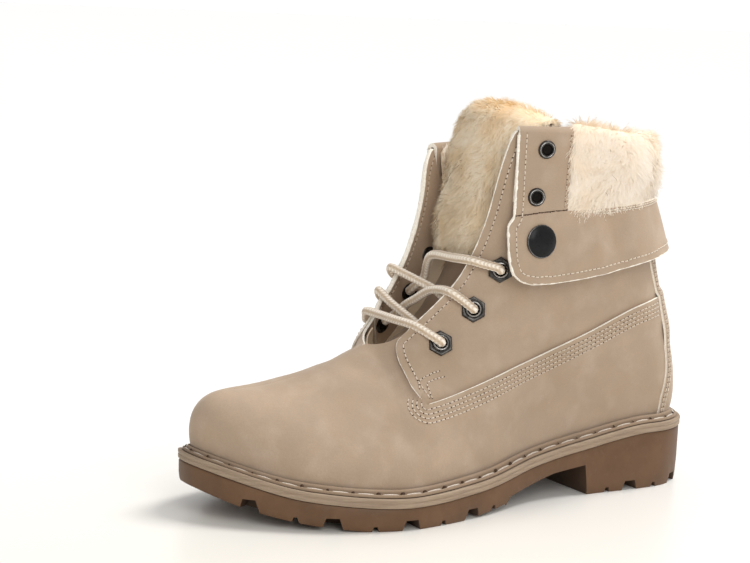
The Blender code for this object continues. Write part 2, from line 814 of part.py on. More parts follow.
# ---------------------------------------------------------------- upper
def upper():
    """Open outer surface made thick inwards, thicker where the fleece lines the shaft."""
    ridge_end = SHARED_RIDGE[-1].foot
    feet = list(np.linspace(0, ridge_end, 10))
    feet += [0.37, 0.395, 0.4175, 0.44, 0.465, 0.49, 0.515, 0.54, 0.565, 0.59, 0.615, 0.64]
    feet += [0.655, 0.67, 0.70, 0.735, 0.77, 0.805, 0.84, 0.875, 0.91, 0.94, 0.97, 1.0]
    steps = 12
    verts = []
    walls = []
    index = {}
    for j, foot in enumerate(feet):
        for side in SIGN:
            for k in range(steps + 1):
                shared = j == 0 or j == len(feet) - 1 or (k == steps and foot <= ridge_end)
                if shared and side == "medial":
                    index[side, j, k] = index["lateral", j, k]
                    continue
                index[side, j, k] = len(verts)
                t = k / steps
                verts.append(upper_point(side, foot, t))
                walls.append(FOOT_WALL + (rib_at(side, foot).wall - FOOT_WALL) * t)
    faces = []
    for j in range(len(feet) - 1):
        for k in range(steps):
            for side in SIGN:
                corners = [(j, k), (j + 1, k), (j + 1, k + 1), (j, k + 1)]
                if side == "medial":
                    corners = corners[::-1]
                faces.append([index[side, a, b] for a, b in corners])
    thing = add_object("upper", verts, faces, "nubuck", BOOT, closed=False)
    thickest = max(walls)
    group = thing.vertex_groups.new(name="wall")
    for i, wall in enumerate(walls):
        group.add([i], wall / thickest, "REPLACE")
    shell = thing.modifiers.new("wall", "SOLIDIFY")
    shell.thickness = thickest * MM
    shell.offset = -1.0
    shell.vertex_group = "wall"


def back_stay():
    """Strip over the back seam, following the upper a little outside it."""
    thickness = 1.2
    lift = CLEARANCE + 0.15
    rows = []
    for t in np.linspace(0.09, 0.70, 9):
        spread = through(t, (0.0, 0.7), (0.055, 0.030))
        feet = [("lateral", 1 - spread), ("lateral", 1 - 0.5 * spread), ("lateral", 1.0)]
        feet += [("medial", 1 - 0.5 * spread), ("medial", 1 - spread)]
        near = [upper_point(side, foot, t, lift) for side, foot in feet]
        far = [upper_point(side, foot, t, lift + thickness) for side, foot in feet]
        rows.append(near + far[::-1])
    tube_along(rows, "nubuck", "back_stay")


# ---------------------------------------------------------------- cuff
def cuff_leather():
    """Band round the shaft with a tab up to the fold at each front end."""
    levels = [CUFF_LOW, 112.5, 116.5, 123.0, 134.0, CUFF_SEAM, 157.0, 169.0, TAB_TOP]
    seam_row = levels.index(CUFF_SEAM)
    tab_columns = 4
    back_columns = 9
    verts = []
    index = {}
    for side in SIGN:
        for r, z in enumerate(levels):
            front = cuff_front(z)
            tab_share = cuff_share(side, TAB_END, z, front)
            shares = list(np.linspace(0.0, tab_share, tab_columns + 1))
            if r <= seam_row:
                shares += list(np.linspace(tab_share, 1.0, back_columns + 1))[1:]
            for c, share in enumerate(shares):
                if share == 1.0 and side == "medial":
                    index[side, r, c] = index["lateral", r, c]
                    continue
                index[side, r, c] = len(verts)
                verts.append(cuff_point(side, share, z, front))
    faces = []
    for side in SIGN:
        for r in range(len(levels) - 1):
            columns = tab_columns + (back_columns if r < seam_row else 0)
            for c in range(columns):
                corners = [(r, c), (r, c + 1), (r + 1, c + 1), (r + 1, c)]
                if side == "medial":
                    corners = corners[::-1]
                faces.append([index[side, a, b] for a, b in corners])
    thing = add_object("cuff_leather", verts, faces, "nubuck", BOOT, closed=False)
    shell = thing.modifiers.new("leather", "SOLIDIFY")
    shell.thickness = CUFF_THICKNESS * MM
    shell.offset = 1.0


def cuff_fleece():
    """Turned-out fleece from the tab round the back to the other tab, over the collar."""
    stations = 13
    order = [("lateral", share) for share in np.linspace(0.0, 1.0, stations)]
    order += [("medial", share) for share in np.linspace(1.0, 0.0, stations)[1:]]
    start = TAB_END - 1.5
    tab_share = {side: cuff_share(side, start, CUFF_SEAM, cuff_front(CUFF_SEAM)) for side in SIGN}
    rows = []
    for side, share in order:
        top_front = halve(0.60, 1.0, lambda foot: upper_point(side, foot, 1.0)[1] > start)
        top_foot = top_front + share * (1.0 - top_front)
        collar = upper_point(side, top_foot, 1.0)
        collar_out = shaft_out(side, top_foot, collar[2] - 4.0)

        def place(off, z):
            if z > collar[2] - 2.0:
                spot = collar + off * collar_out
            else:
                front = ring_foot(side, start, z, off)
                spot = ring_point(side, front + share * (1.0 - front), z, off)
            return (spot[0], spot[1], z)

        along = tab_share[side] + share * (1.0 - tab_share[side])
        seam = cuff_height(side, along, CUFF_SEAM) + 1.0
        crown = collar[2] + FLEECE_RISE + share * (FLEECE_BACK_RISE - FLEECE_RISE)
        ledge = collar[2] + 2 * CLEARANCE
        section = [place(off, seam + rise * (crown - seam)) for off, rise in FLEECE_SECTION]
        section += [place(-5.0, ledge + CLEARANCE), place(1.7, ledge), place(1.9, seam)]
        rows.append(section)
    tube_along(rows, "fleece", "cuff_fleece")


# ---------------------------------------------------------------- tongue
def tongue():
    columns = np.linspace(-1, 1, 7)
    path = np.array([(row.d, row.z) for row in TONGUE_PATH])
    along = np.gradient(path, axis=0)
    along /= np.linalg.norm(along, axis=1)[:, None]
    rows = []
    for row, way in zip(TONGUE_PATH, along):
        front = []
        back = []
        for c in columns:
            thick = 0.5 * TONGUE_THICKNESS * (1 - 0.45 * c**4)
            x = TONGUE_CENTRE + c * row.half_width
            d = row.d - row.drop_d * c**2
            z = row.z - row.drop_z * c**2
            front.append((x, d + thick * way[1], z - thick * way[0]))
            back.append((x, d - thick * way[1], z + thick * way[0]))
        rows.append(front + back[::-1])
    tube_along(rows, "fleece", "tongue")


# ---------------------------------------------------------------- hardware
def facing(point, normal):
    """Matrix that stands a piece's +Z on the normal at a point given in (x, d, z)."""
    place = Vector(to_scene([point])[0])
    out = Vector((normal[0], -normal[1], normal[2]))
    return Matrix.Translation(place) @ out.to_track_quat("Z", "Y").to_matrix().to_4x4()


def circle(radius, height, steps):
    return [
        (radius * cos(2 * pi * i / steps), radius * sin(2 * pi * i / steps), height)
        for i in range(steps)
    ]


def hexagon(flat, height, steps):
    """Points on a hexagon, given half its width across flats."""
    points = []
    for i in range(steps):
        angle = 2 * pi * i / steps
        radius = flat / cos((angle + pi / 6) % (pi / 3) - pi / 6)
        points.append((radius * cos(angle), radius * sin(angle), height))
    return points


def place_hardware(name, loops, is_ring, matrix, slot):
    """Piece from loops of equal size: a ring closed on itself, or a stack with two caps."""
    count = len(loops[0])
    mesh = bpy.data.meshes.new(name)
    faces = []
    for k in range(len(loops) - (0 if is_ring else 1)):
        faces += loop_faces(k * count, (k + 1) % len(loops) * count, count)
    if not is_ring:
        last = (len(loops) - 1) * count
        faces += [tuple(range(count)), tuple(range(last, last + count))]
    mesh.from_pydata([tuple(MM * c for c in v) for loop in loops for v in loop], [], faces)
    work = bmesh.new()
    work.from_mesh(mesh)
    bmesh.ops.recalc_face_normals(work, faces=work.faces)
    work.to_mesh(mesh)
    work.free()
    mesh.materials.append(paint(slot))
    thing = bpy.data.objects.new(name, mesh)
    thing.matrix_world = matrix
    BOOT.objects.link(thing)


def hex_seat(side, n):
    """Point of the upper under a lace eyelet, and the way out of it."""
    foot, t = nearest_on_upper(side, HEX_EYELETS[side][n])
    return upper_point(side, foot, t), upper_normal(side, foot, t)


def cuff_matrix(side, seat):
    """Seat on the outside of the cuff's leather."""
    front = cuff_front(seat.z)
    share = cuff_share(side, seat.d, seat.z, front)
    step = 5.0

    def outside(way, rise):
        return cuff_point(side, share + way, seat.z + rise, front, CUFF_THICKNESS)

    up = outside(0.0, step) - outside(0.0, -step)
    back = outside(0.06, 0.0) - outside(-0.06, 0.0)
    normal = np.cross(up, back) * SIGN[side]
    normal /= np.linalg.norm(normal)
    return facing(outside(0.0, 0.0) + HARDWARE_LIFT * normal, normal)


def hardware():
    """Hexagonal lace eyelets on the upper, round eyelets and a snap on each tab."""
    hex_steps = 24
    round_steps = 14
    snap_steps = 20
    hex_loops = [hexagon(HEX_ACROSS_FLATS / 2 * r, h, hex_steps) for r, h in HEX_FLANGE]
    hex_loops += [circle(r, h, hex_steps) for r, h in HEX_LIP]
    round_loops = [circle(r, h, round_steps) for r, h in ROUND_PROFILE]
    snap_loops = [circle(r, h, snap_steps) for r, h in SNAP_PROFILE]
    for side in SIGN:
        for n in range(len(HEX_EYELETS[side])):
            point, normal = hex_seat(side, n)
            matrix = facing(point + HARDWARE_LIFT * normal, normal)
            place_hardware(f"hex_eyelet_{side}_{n + 1}", hex_loops, True, matrix, "gunmetal")
        for n, seat in enumerate(ROUND_EYELETS, 1):
            matrix = cuff_matrix(side, seat)
            place_hardware(f"cuff_eyelet_{side}_{n}", round_loops, True, matrix, "gunmetal")
        matrix = cuff_matrix(side, SNAP_SEAT)
        place_hardware(f"snap_{side}", snap_loops, False, matrix, "snap_metal")


# ---------------------------------------------------------------- lace
def strand(name, points, collection):
    """Round cord through a few points, as a closed mesh."""
    curve = bpy.data.curves.new(name, "CURVE")
    curve.dimensions = "3D"
    curve.bevel_depth = 0.5 * LACE_DIAMETER * MM
    curve.bevel_resolution = 2
    curve.use_fill_caps = True
    knots = np.array([tuple(p) for p in points], float)
    shares = np.linspace(0, 1, len(knots))
    samples = np.linspace(0, 1, 2 * len(knots) - 1)
    smooth = np.column_stack([through(samples, shares, knots[:, k]) for k in range(3)])
    spline = curve.splines.new("POLY")
    spline.points.add(len(samples) - 1)
    for point, place in zip(spline.points, to_scene(smooth)):
        point.co = (*place, 1.0)
    guide = bpy.data.objects.new(name + "_curve", curve)
    collection.objects.link(guide)
    graph = bpy.context.evaluated_depsgraph_get()
    mesh = bpy.data.meshes.new_from_object(guide.evaluated_get(graph))
    bpy.data.objects.remove(guide, do_unlink=True)
    work = bmesh.new()
    work.from_mesh(mesh)
    bmesh.ops.remove_doubles(work, verts=work.verts, dist=1e-6)
    bmesh.ops.recalc_face_normals(work, faces=work.faces)
    work.to_mesh(mesh)
    work.free()
    mesh.name = name
    mesh.materials.clear()
    mesh.materials.append(paint("lace_cord"))
    thing = bpy.data.objects.new(name, mesh)
    collection.objects.link(thing)
    return thing


def lace():
    """Each bar starts over its outer eyelet; the strand it crosses is joined to it."""
    over = HARDWARE_LIFT + max(ring.height for ring in HEX_LIP) + LACE_DIAMETER / 2 + LACE_GAP
    for row, (name, bars) in enumerate(LACE_BARS.items()):
        point, normal = hex_seat("lateral", row)
        first = strand(name, (point + over * normal, *bars[0]), BOOT)
        for n, bar in enumerate(bars[1:], 2):
            other = strand(f"{name}_bar_{n}", bar, CUTTERS)
            other.hide_render = True
            other.display_type = "WIRE"
            join = first.modifiers.new(other.name, "BOOLEAN")
            join.operation = "UNION"
            join.solver = "EXACT"
            join.object = other


clear_scene()
BOOT = new_collection("ankle_boot")
CUTTERS = new_collection("cutters")

outsole()
midsole()
welt()
insole()
upper()
back_stay()
cuff_leather()
cuff_fleece()
tongue()
hardware()
lace()
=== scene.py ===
"""Looks of a lace-up ankle boot with a snapped fold-down fleece cuff, left foot.

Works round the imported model, in its frame. Lengths below are millimetres and a point is
(x, d, z): x to the outer side, d from the back of the sole towards the toe, z up from the
ground; to_scene() turns them into the frame's metres. The surface of the last is the one
that the part is built on, so every panel, seam and stitch is placed on it by its rib
(foot, from the toe at 0 to the heel at 1) and its height on the rib (t, 0 to 1).
"""

from collections import namedtuple
from functools import lru_cache
from math import cos, pi, radians, sin

import bmesh
import bpy
import numpy as np
from mathutils import Matrix, Vector, kdtree, noise


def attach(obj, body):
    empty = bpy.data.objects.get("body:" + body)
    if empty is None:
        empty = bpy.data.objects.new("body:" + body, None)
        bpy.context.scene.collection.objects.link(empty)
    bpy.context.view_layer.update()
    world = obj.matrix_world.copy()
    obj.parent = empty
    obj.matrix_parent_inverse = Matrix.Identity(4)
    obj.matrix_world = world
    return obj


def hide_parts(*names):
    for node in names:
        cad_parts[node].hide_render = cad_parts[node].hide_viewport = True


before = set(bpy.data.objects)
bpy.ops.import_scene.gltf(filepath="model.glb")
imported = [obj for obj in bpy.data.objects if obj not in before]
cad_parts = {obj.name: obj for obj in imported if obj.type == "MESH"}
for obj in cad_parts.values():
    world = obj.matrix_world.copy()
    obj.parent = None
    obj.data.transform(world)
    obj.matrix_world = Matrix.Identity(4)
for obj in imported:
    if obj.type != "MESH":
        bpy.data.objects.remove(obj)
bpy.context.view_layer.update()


# ---------------------------------------------------------------- driving dimensions
MM = 0.001  # in metres
CLEARANCE = 0.35  # between two parts that touch

# plan of the sole: its length, half widths, and how far its apex lies to the inner side
SOLE_LENGTH = 275.0
HEEL_SEAT = 38.0
HEEL_HALF = 35.0
WAIST_OUTER = 37.3
WAIST_INNER = 30.1
BALL_OUTER = 56.5
BALL_INNER = 47.9
TOE_OUTER = 44.1
TOE_INNER = 38.9
TOE_APEX = -9.4

# build-up over the outsole
MIDSOLE_THICKNESS = 4.5
WELT_OUTER_INSET = 2.0
WELT_GAP = 1.1
INSOLE_GAP = 3.2

# heel breast, waist and the notches of the tread
BREAST = 74.0
SHANK_CUT_END = 129.5
NOTCH_REACH = 14.0
NOTCH_FLARE = 2.4
NOTCH_TOP_SHARE = 0.72
BELOW_GROUND = -6.0

# cuff: where its tabs end, its levels, and how its back and inner side differ
CUFF_THICKNESS = 2.0
TAB_END = 103.5
CUFF_LOW = 109.2
CUFF_SEAM = 145.0
TAB_TOP = 181.0
CUFF_BACK_SHARE = 0.60
CUFF_BACK_STANDOFF = 0.75
INNER_CUFF_DROP = 8.0
INNER_TAB_SHARE = 0.87
SHAFT_FRONT = 0.60  # rib at which the shaft begins

# metal and lace
SNAP_RADIUS = 8.3
HEX_ACROSS_FLATS = 11.0
LACE_DIAMETER = 4.5


# ---------------------------------------------------------------- tables
def listed(kind, *values):
    """Rows of a table, all of one kind."""
    return tuple(kind(*value) for value in values)


Level = namedtuple("Level", "d z")
SOLE_LINE = listed(Level,  # upper edge of the outsole: heel pitch, arch and toe spring
    (0, 28.5), (35, 28.6), (75, 23.2), (110, 17.9), (150, 12.2), (190, 10.2), (235, 13.3), (275, 24.2))
TREAD_LINE = listed(Level,  # ground side of the lugs
    (0, 0.0), (129, 0.0), (130, 3.2), (142, 1.7), (162, 0.0), (206, 0.0), (222, 1.2), (240, 3.6),
    (257, 7.6), (275, 14.6))
SHANK_LINE = listed(Level,  # underside of the waist, in front of the heel's breast
    (BREAST + 2.0, 15.4), (96, 13.2), (110, 10.0), (127, 6.6), (SHANK_CUT_END, 3.6))

Plan = namedtuple("Plan", "x d")
OUTER_PLAN = listed(Plan,  # outer side of the sole, from toe to heel
    (0.60 * TOE_APEX + 0.28 * TOE_OUTER, 270),
    (0.38 * TOE_APEX + 0.62 * TOE_OUTER, 256),
    (TOE_OUTER, 230),
    (0.985 * BALL_OUTER, 200),
    (BALL_OUTER, 180),
    (0.45 * WAIST_OUTER + 0.55 * BALL_OUTER + 0.5, 140),
    (WAIST_OUTER, 105),
    (0.99 * HEEL_HALF, 70),
    (HEEL_HALF, 42),
    (0.93 * HEEL_HALF, 22),
    (0.62 * HEEL_HALF, 6.5))
INNER_PLAN = listed(Plan,  # inner side of the sole, from heel to toe
    (-0.62 * HEEL_HALF, 6.5),
    (-0.92 * HEEL_HALF, 22),
    (-0.98 * HEEL_HALF, 42),
    (-0.93 * HEEL_HALF, 70),
    (-WAIST_INNER, 110),
    (-0.55 * WAIST_INNER - 0.45 * BALL_INNER, 140),
    (-0.97 * BALL_INNER, 175),
    (-BALL_INNER, 195),
    (-1.12 * TOE_INNER, 235),
    (-0.90 * TOE_INNER, 255),
    (0.60 * TOE_APEX - 0.40 * TOE_INNER - 2, 271.5))

Notch = namedtuple("Notch", "width depth stations")
NOTCHES = listed(Notch,  # cuts in the tread's edge, at their places along the sole
    (8.6, 3.8, (14.5, 47.0, 153.5, 190.5, 226.5, 257.5)),
    (2.4, 1.9, (31.0, 61.0, 139.0, 172.0, 208.0, 241.0)))
Channel = namedtuple("Channel", "d half_length half_width depth")
CHANNELS = listed(Channel,  # cross grooves in the middle of the tread
    (17.0, 13.0, 2.0, 3.0),
    (58.0, 13.0, 2.0, 3.0),
    (153.5, 18.0, 2.2, 3.2),
    (172.0, 18.0, 1.6, 2.4),
    (190.5, 18.0, 2.2, 3.2),
    (208.0, 18.0, 1.6, 2.4),
    (226.5, 15.0, 2.2, 3.2))

Rib = namedtuple("Rib", "foot top_x top_d top_z swell rise reach_x reach_d reach_z wall")
# foot: share of the half outline from toe to heel; top: where the rib ends, on the ridge,
# the throat edge or the collar; swell and rise: how far the rib leaves its foot outwards
# and upwards; reach: the way in which it arrives at its top; wall: thickness at the top.
SHARED_RIDGE = listed(Rib,
    (0.00, -8, 252.0, 57.6, 6, 20, 0, 16, 1.0, 2.4),
    (0.10, -6, 238.0, 58.8, 5, 20, 17, 14, 0.5, 2.4),
    (0.20, -4, 217.0, 63.3, 4, 21, 21, 4, -0.5, 2.4),
    (0.30, -3, 197.0, 70.5, 5, 23, 22, 1, -1.5, 2.6),
    (0.345, -3, 185.5, 75.6, 5, 24, 21, -1, -4.0, 2.8))
OUTER_RIBS = SHARED_RIDGE + listed(Rib,
    (0.37, 4, 181.5, 77.0, 5, 24, 20, -2, -7.0, 3.0),
    (0.395, 10, 177.5, 79.5, 5, 25, 19, -3, -10.0, 3.0),
    (0.44, 15, 170.0, 86.0, 4, 26, 18, -5, -16.0, 3.2),
    (0.49, 17, 159.0, 96.5, 3, 27, 17, -8, -22.0, 3.2),
    (0.54, 20, 146.0, 112.0, 2, 28, 15, -10, -30.0, 3.4),
    (0.59, 26, 138.5, 135.0, 1, 30, 10, -13, -38.0, 3.6),
    (0.64, 35, 134.5, 170.0, 1, 32, 3, -15, -52.0, 3.8),
    (0.67, 38, 130.0, 181.5, 1, 33, 0, -15, -57.0, 4.2),
    (0.75, 43, 106.0, 182.0, 2, 34, -4, -14, -60.0, 5.0),
    (0.83, 43, 78.0, 179.5, 4, 36, -6, -9, -57.0, 5.0),
    (0.91, 31.5, 46.5, 176.5, 9, 32, -5, 4, -50.0, 5.0),
    (0.96, 16, 36.5, 174.5, 10.5, 29, -2.5, 8, -44.0, 5.0),
    (1.00, 0, 33.0, 174.0, 11.5, 28, 0, 10.0, -42.0, 5.0))
INNER_RIBS = tuple(row._replace(reach_x=-row.reach_x) for row in SHARED_RIDGE) + listed(Rib,
    (0.37, -10, 181.5, 77.0, 4, 24, -20, -2, -7.0, 3.0),
    (0.395, -16, 177.5, 79.5, 4, 25, -19, -3, -10.0, 3.0),
    (0.44, -21, 169.5, 86.0, 4, 26, -18, -5, -16.0, 3.2),
    (0.49, -24, 160.5, 99.0, 3, 27, -16, -8, -22.0, 3.2),
    (0.54, -25, 150.5, 116.0, 2, 28, -14, -10, -30.0, 3.4),
    (0.59, -28, 142.5, 137.0, 1, 30, -10, -13, -38.0, 3.6),
    (0.64, -33, 136.5, 160.0, 1, 32, -3, -15, -47.0, 3.8),
    (0.67, -36, 131.0, 166.5, 1, 33, 0, -15, -49.0, 4.2),
    (0.75, -42, 106.0, 167.5, 2, 34, 4, -14, -52.0, 5.0),
    (0.83, -43, 78.0, 170.0, 4, 36, 6, -9, -53.0, 5.0),
    (0.91, -31.5, 46.5, 172.5, 9, 32, 5, 4, -48.0, 5.0),
    (0.96, -16, 36.5, 173.5, 10.5, 29, 2.5, 8, -43.5, 5.0),
    (1.00, 0, 33.0, 174.0, 11.5, 28, 0, 10.0, -42.0, 5.0))


def joined(ribs, other):
    """Ribs of one side with the other side's next rib beyond the toe and the heel."""
    before = other[1]._replace(foot=-other[1].foot)
    beyond = other[-2]._replace(foot=2 - other[-2].foot)
    return (before, *ribs, beyond)


RIBS = {"lateral": joined(OUTER_RIBS, INNER_RIBS), "medial": joined(INNER_RIBS, OUTER_RIBS)}
SIGN = {"lateral": 1.0, "medial": -1.0}
FOOT_WALL = 2.2
BOX_FACES = ((0, 1, 3, 2), (4, 5, 7, 6), (0, 1, 5, 4), (2, 3, 7, 6), (0, 2, 6, 4), (1, 3, 7, 5))

Edge = namedtuple("Edge", "z d")
CUFF_FRONT = listed(Edge,  # front edge of the turned-down cuff, with its rounded lower corner
    (CUFF_LOW, 121.5), (111.0, 126.5), (115.5, 130.0), (126.0, 131.6), (139.0, 131.9), (145.5, 129.6),
    (150.0, 129.6), (TAB_TOP, 130.2))
Gap = namedtuple("Gap", "z off")
CUFF_STANDOFF = listed(Gap,  # how far the inside of the cuff stands off the shaft
    (CUFF_LOW, 8.0), (130.0, 5.4), (CUFF_SEAM, 3.2), (165.0, 1.3), (TAB_TOP, 0.7))
Climb = namedtuple("Climb", "share rise")
SEAM_CLIMB = listed(Climb,
    (0.0, -3.7), (0.27, -0.7), (0.44, 0.0), (0.6, 1.5), (0.75, 3.1), (1.0, 3.5))
Slice = namedtuple("Slice", "off rise")
FLEECE_SECTION = listed(Slice,  # rise is a share of the height from the cuff seam to the fleece's crown
    (4.0, 0.00), (6.6, 0.10), (7.4, 0.40), (6.6, 0.72), (3.6, 0.95), (-0.6, 1.00), (-5.8, 0.90))
FLEECE_RISE = 8.0
FLEECE_BACK_RISE = 4.5

Seat = namedtuple("Seat", "x d z")
HEX_EYELETS = {
    "lateral": (Seat(26, 160.0, 80.1), Seat(28, 143.4, 96.0), Seat(31, 131.3, 114.9)),
    "medial": (Seat(-29, 159.0, 80.0), Seat(-31, 145.0, 96.0), Seat(-34, 133.5, 113.5)),
}
ROUND_EYELETS = (Edge(150.8, 120.0), Edge(173.5, 117.0))
SNAP_SEAT = Edge(129.4, 117.0)

Fold = namedtuple("Fold", "d z half_width drop_d drop_z")
TONGUE_PATH = listed(Fold,  # middle of the tongue from under the vamp, up, and folded forwards
    (188.0, 66.6, 12.0, 0.0, 3.0),
    (176.0, 70.0, 14.0, 0.5, 4.0),
    (158.0, 79.0, 18.0, 3.0, 4.0),
    (143.0, 93.5, 20.0, 4.5, 2.5),
    (132.0, 110.0, 22.0, 6.0, 1.0),
    (127.5, 126.0, 24.0, 7.0, 0.0),
    (122.5, 148.0, 26.5, 8.0, 0.0),
    (115.5, 170.0, 30.0, 9.0, 0.5),
    (109.5, 184.0, 31.0, 9.0, 2.5),
    (112.5, 190.5, 31.0, 9.0, 5.0),
    (120.3, 187.3, 30.5, 8.5, 4.5),
    (126.3, 173.0, 29.0, 8.0, 1.5),
    (131.5, 150.0, 25.0, 7.0, 0.0),
    (136.3, 132.0, 23.5, 6.0, 0.0),
    (136.5, 121.0, 20.0, 5.0, 0.0))
TONGUE_CENTRE = -2.5


# ---------------------------------------------------------------- curves and surfaces
def through(x, xs, ys):
    """Smooth curve through the points (xs, ys) that never overshoots them."""
    x, xs, ys = (np.asarray(values, float) for values in (x, xs, ys))
    step = np.diff(xs)
    rise = np.diff(ys) / step
    slope = np.empty(len(xs))
    slope[0], slope[-1] = rise[0], rise[-1]
    before, after = rise[:-1], rise[1:]
    same_way = before * after > 0
    slope[1:-1] = np.where(same_way, 2 * before * after / np.where(same_way, before + after, 1), 0)
    i = np.clip(np.searchsorted(xs, x, side="right") - 1, 0, len(step) - 1)
    u = np.clip((x - xs[i]) / step[i], 0, 1)
    start = (1 + 2 * u) * (1 - u) ** 2 * ys[i] + u * (1 - u) ** 2 * step[i] * slope[i]
    end = u**2 * (3 - 2 * u) * ys[i + 1] - u**2 * (1 - u) * step[i] * slope[i + 1]
    return start + end


def table(entries, key, value, x):
    """Smooth curve through one column of a table over another."""
    return through(x, [getattr(row, key) for row in entries], [getattr(row, value) for row in entries])


def ease(x):
    """0 to 1 as x goes from 0 to 1, level at both ends."""
    x = np.clip(x, 0, 1)
    return x * x * (3 - 2 * x)


def unit(v):
    """Vectors of length one."""
    return v / np.maximum(np.linalg.norm(v, axis=-1, keepdims=True), 1e-12)


def matched(*values):
    """Values as float arrays of one common shape."""
    return np.broadcast_arrays(*(np.asarray(value, float) for value in values))


def running(points):
    """Length run along a line at each of its points."""
    return np.concatenate([[0], np.cumsum(np.linalg.norm(np.diff(points, axis=0), axis=1))])


def sole_top(d):
    """Height of the outsole's upper edge."""
    return table(SOLE_LINE, "d", "z", d)


def tread(d):
    """Height of the lugs' ground side."""
    return table(TREAD_LINE, "d", "z", d)


def midsole_top(d):
    """Height of the midsole's upper side."""
    return sole_top(d) + CLEARANCE + MIDSOLE_THICKNESS


def smooth_closed(points, per_span):
    """Closed curve through points, with tangents from each point's two neighbours."""
    points = np.asarray(points, float)
    count = len(points)
    spans = np.linalg.norm(np.roll(points, -1, axis=0) - points, axis=1)
    out = []
    for i in range(count):
        before, here, there, beyond = (points[(i + k) % count] for k in (-1, 0, 1, 2))
        span = spans[i]
        leave = (there - before) / (span + spans[i - 1]) * span
        arrive = (beyond - here) / (span + spans[(i + 1) % count]) * span
        for u in np.arange(per_span) / per_span:
            depart = (1 + 2 * u) * (1 - u) ** 2 * here + u * (1 - u) ** 2 * leave
            out.append(depart + u**2 * (3 - 2 * u) * there + -(u**2) * (1 - u) * arrive)
    return np.array(out)


def sole_outline():
    """Half outlines from toe to heel, as (points, outward normals, running length)."""
    per_span = 16
    ring = (Plan(TOE_APEX, SOLE_LENGTH), *OUTER_PLAN, Plan(0, 0), *INNER_PLAN)
    loop = smooth_closed(ring, per_span)
    half = (len(OUTER_PLAN) + 1) * per_span
    closed = np.vstack([loop, loop[:1]])
    tangent = np.roll(loop, -1, axis=0) - np.roll(loop, 1, axis=0)
    normal = unit(np.column_stack([-tangent[:, 1], tangent[:, 0]]))
    normal = np.vstack([normal, normal[:1]])
    halves = {}
    for side, part in (("lateral", slice(0, half + 1)), ("medial", slice(half, None))):
        turn = -1 if side == "medial" else 1
        points, normals = closed[part][::turn], normal[part][::turn]
        halves[side] = (points, normals, running(points))
    return halves


OUTLINE = sole_outline()


def walk(points, at, length):
    """Values along a line at running positions on it."""
    return np.stack([np.interp(at, length, points[:, k]) for k in range(points.shape[1])], -1)


def edge_at(side, foot, inset):
    """Points (x, d) of the sole's outline moved inwards, and the outward directions."""
    points, normals, length = OUTLINE[side]
    where = np.asarray(foot, float) * length[-1]
    out = unit(walk(normals, where, length))
    return walk(points, where, length) - np.asarray(inset, float)[..., None] * out, out


def feather_inset(foot):
    """How far inside the sole's outline the upper stands."""
    return through(foot, (0.0, 0.15, 0.85, 1.0), (6.0, 7.8, 7.8, 6.4))


def rib(side, name, foot):
    """One measure of the ribs at shares of the half outline."""
    return table(RIBS[side], "foot", name, foot)


def upper_point(side, foot, t):
    """Outside of the last's upper at share t of a rib, from the feather line to its top."""
    foot, t = matched(foot, t)
    spot, out = edge_at(side, foot, feather_inset(foot))
    base = np.stack([spot[..., 0], spot[..., 1], midsole_top(spot[..., 1]) + CLEARANCE], -1)
    swell = rib(side, "swell", foot)
    leave = base + np.stack([out[..., 0] * swell, out[..., 1] * swell, rib(side, "rise", foot)], -1)
    top = np.stack([rib(side, name, foot) for name in ("top_x", "top_d", "top_z")], -1)
    arrive = top + np.stack([rib(side, name, foot) for name in ("reach_x", "reach_d", "reach_z")], -1)
    t = t[..., None]
    lower = (1 - t) ** 3 * base + 3 * t * (1 - t) ** 2 * leave
    return lower + 3 * t**2 * (1 - t) * arrive + t**3 * top


def upper_slopes(side, foot, t):
    """How the surface moves for a whole unit of foot and of t."""
    step = 0.004
    low, high = np.clip(foot - step, 0, 1), np.clip(foot + step, 0, 1)
    under, over = np.clip(t - step, 0, 1), np.clip(t + step, 0, 1)
    along = (upper_point(side, high, t) - upper_point(side, low, t)) / (high - low)[..., None]
    up = (upper_point(side, foot, over) - upper_point(side, foot, under)) / (over - under)[..., None]
    return along, up


def upper_normal(side, foot, t):
    """Outward direction of the last's upper."""
    foot, t = matched(foot, t)
    along, up = upper_slopes(side, foot, t)
    return unit(np.cross(up, along) * SIGN[side])


def skin(side, foot, t, off=0.0):
    """Point at a distance off the last's upper."""
    return upper_point(side, foot, t) + np.asarray(off)[..., None] * upper_normal(side, foot, t)


def settle(side, targets, foot, t):
    """Ribs and heights of the surface's nearest points to targets, from a first guess."""
    for _ in range(6):
        gap = targets - upper_point(side, foot, t)
        along, up = upper_slopes(side, foot, t)
        long, mixed, tall = (along * along).sum(-1), (along * up).sum(-1), (up * up).sum(-1)
        gap_along, gap_up = (gap * along).sum(-1), (gap * up).sum(-1)
        whole = np.maximum(long * tall - mixed * mixed, 1e-9)
        foot = np.clip(foot + (gap_along * tall - gap_up * mixed) / whole, 0, 1)
        t = np.clip(t + (gap_up * long - gap_along * mixed) / whole, 0, 1)
    return foot, t


def halve(low, high, is_low):
    """Values between low and high where is_low turns false."""
    for _ in range(22):
        middle = (low + high) / 2
        below = is_low(middle)
        low = np.where(below, middle, low)
        high = np.where(below, high, middle)
    return (low + high) / 2


def shaft_point(side, foot, z):
    """Outside of the shaft on one rib at a height, or its top if that is lower."""
    foot, z = matched(foot, z)
    t = halve(np.zeros(z.shape), np.ones(z.shape), lambda t: upper_point(side, foot, t)[..., 2] < z)
    return upper_point(side, foot, t)


def level_out(side, back):
    """Level outward direction, from the direction that leads towards the heel."""
    return unit(np.stack([back[..., 1], -back[..., 0], 0 * back[..., 0]], -1)) * -SIGN[side]


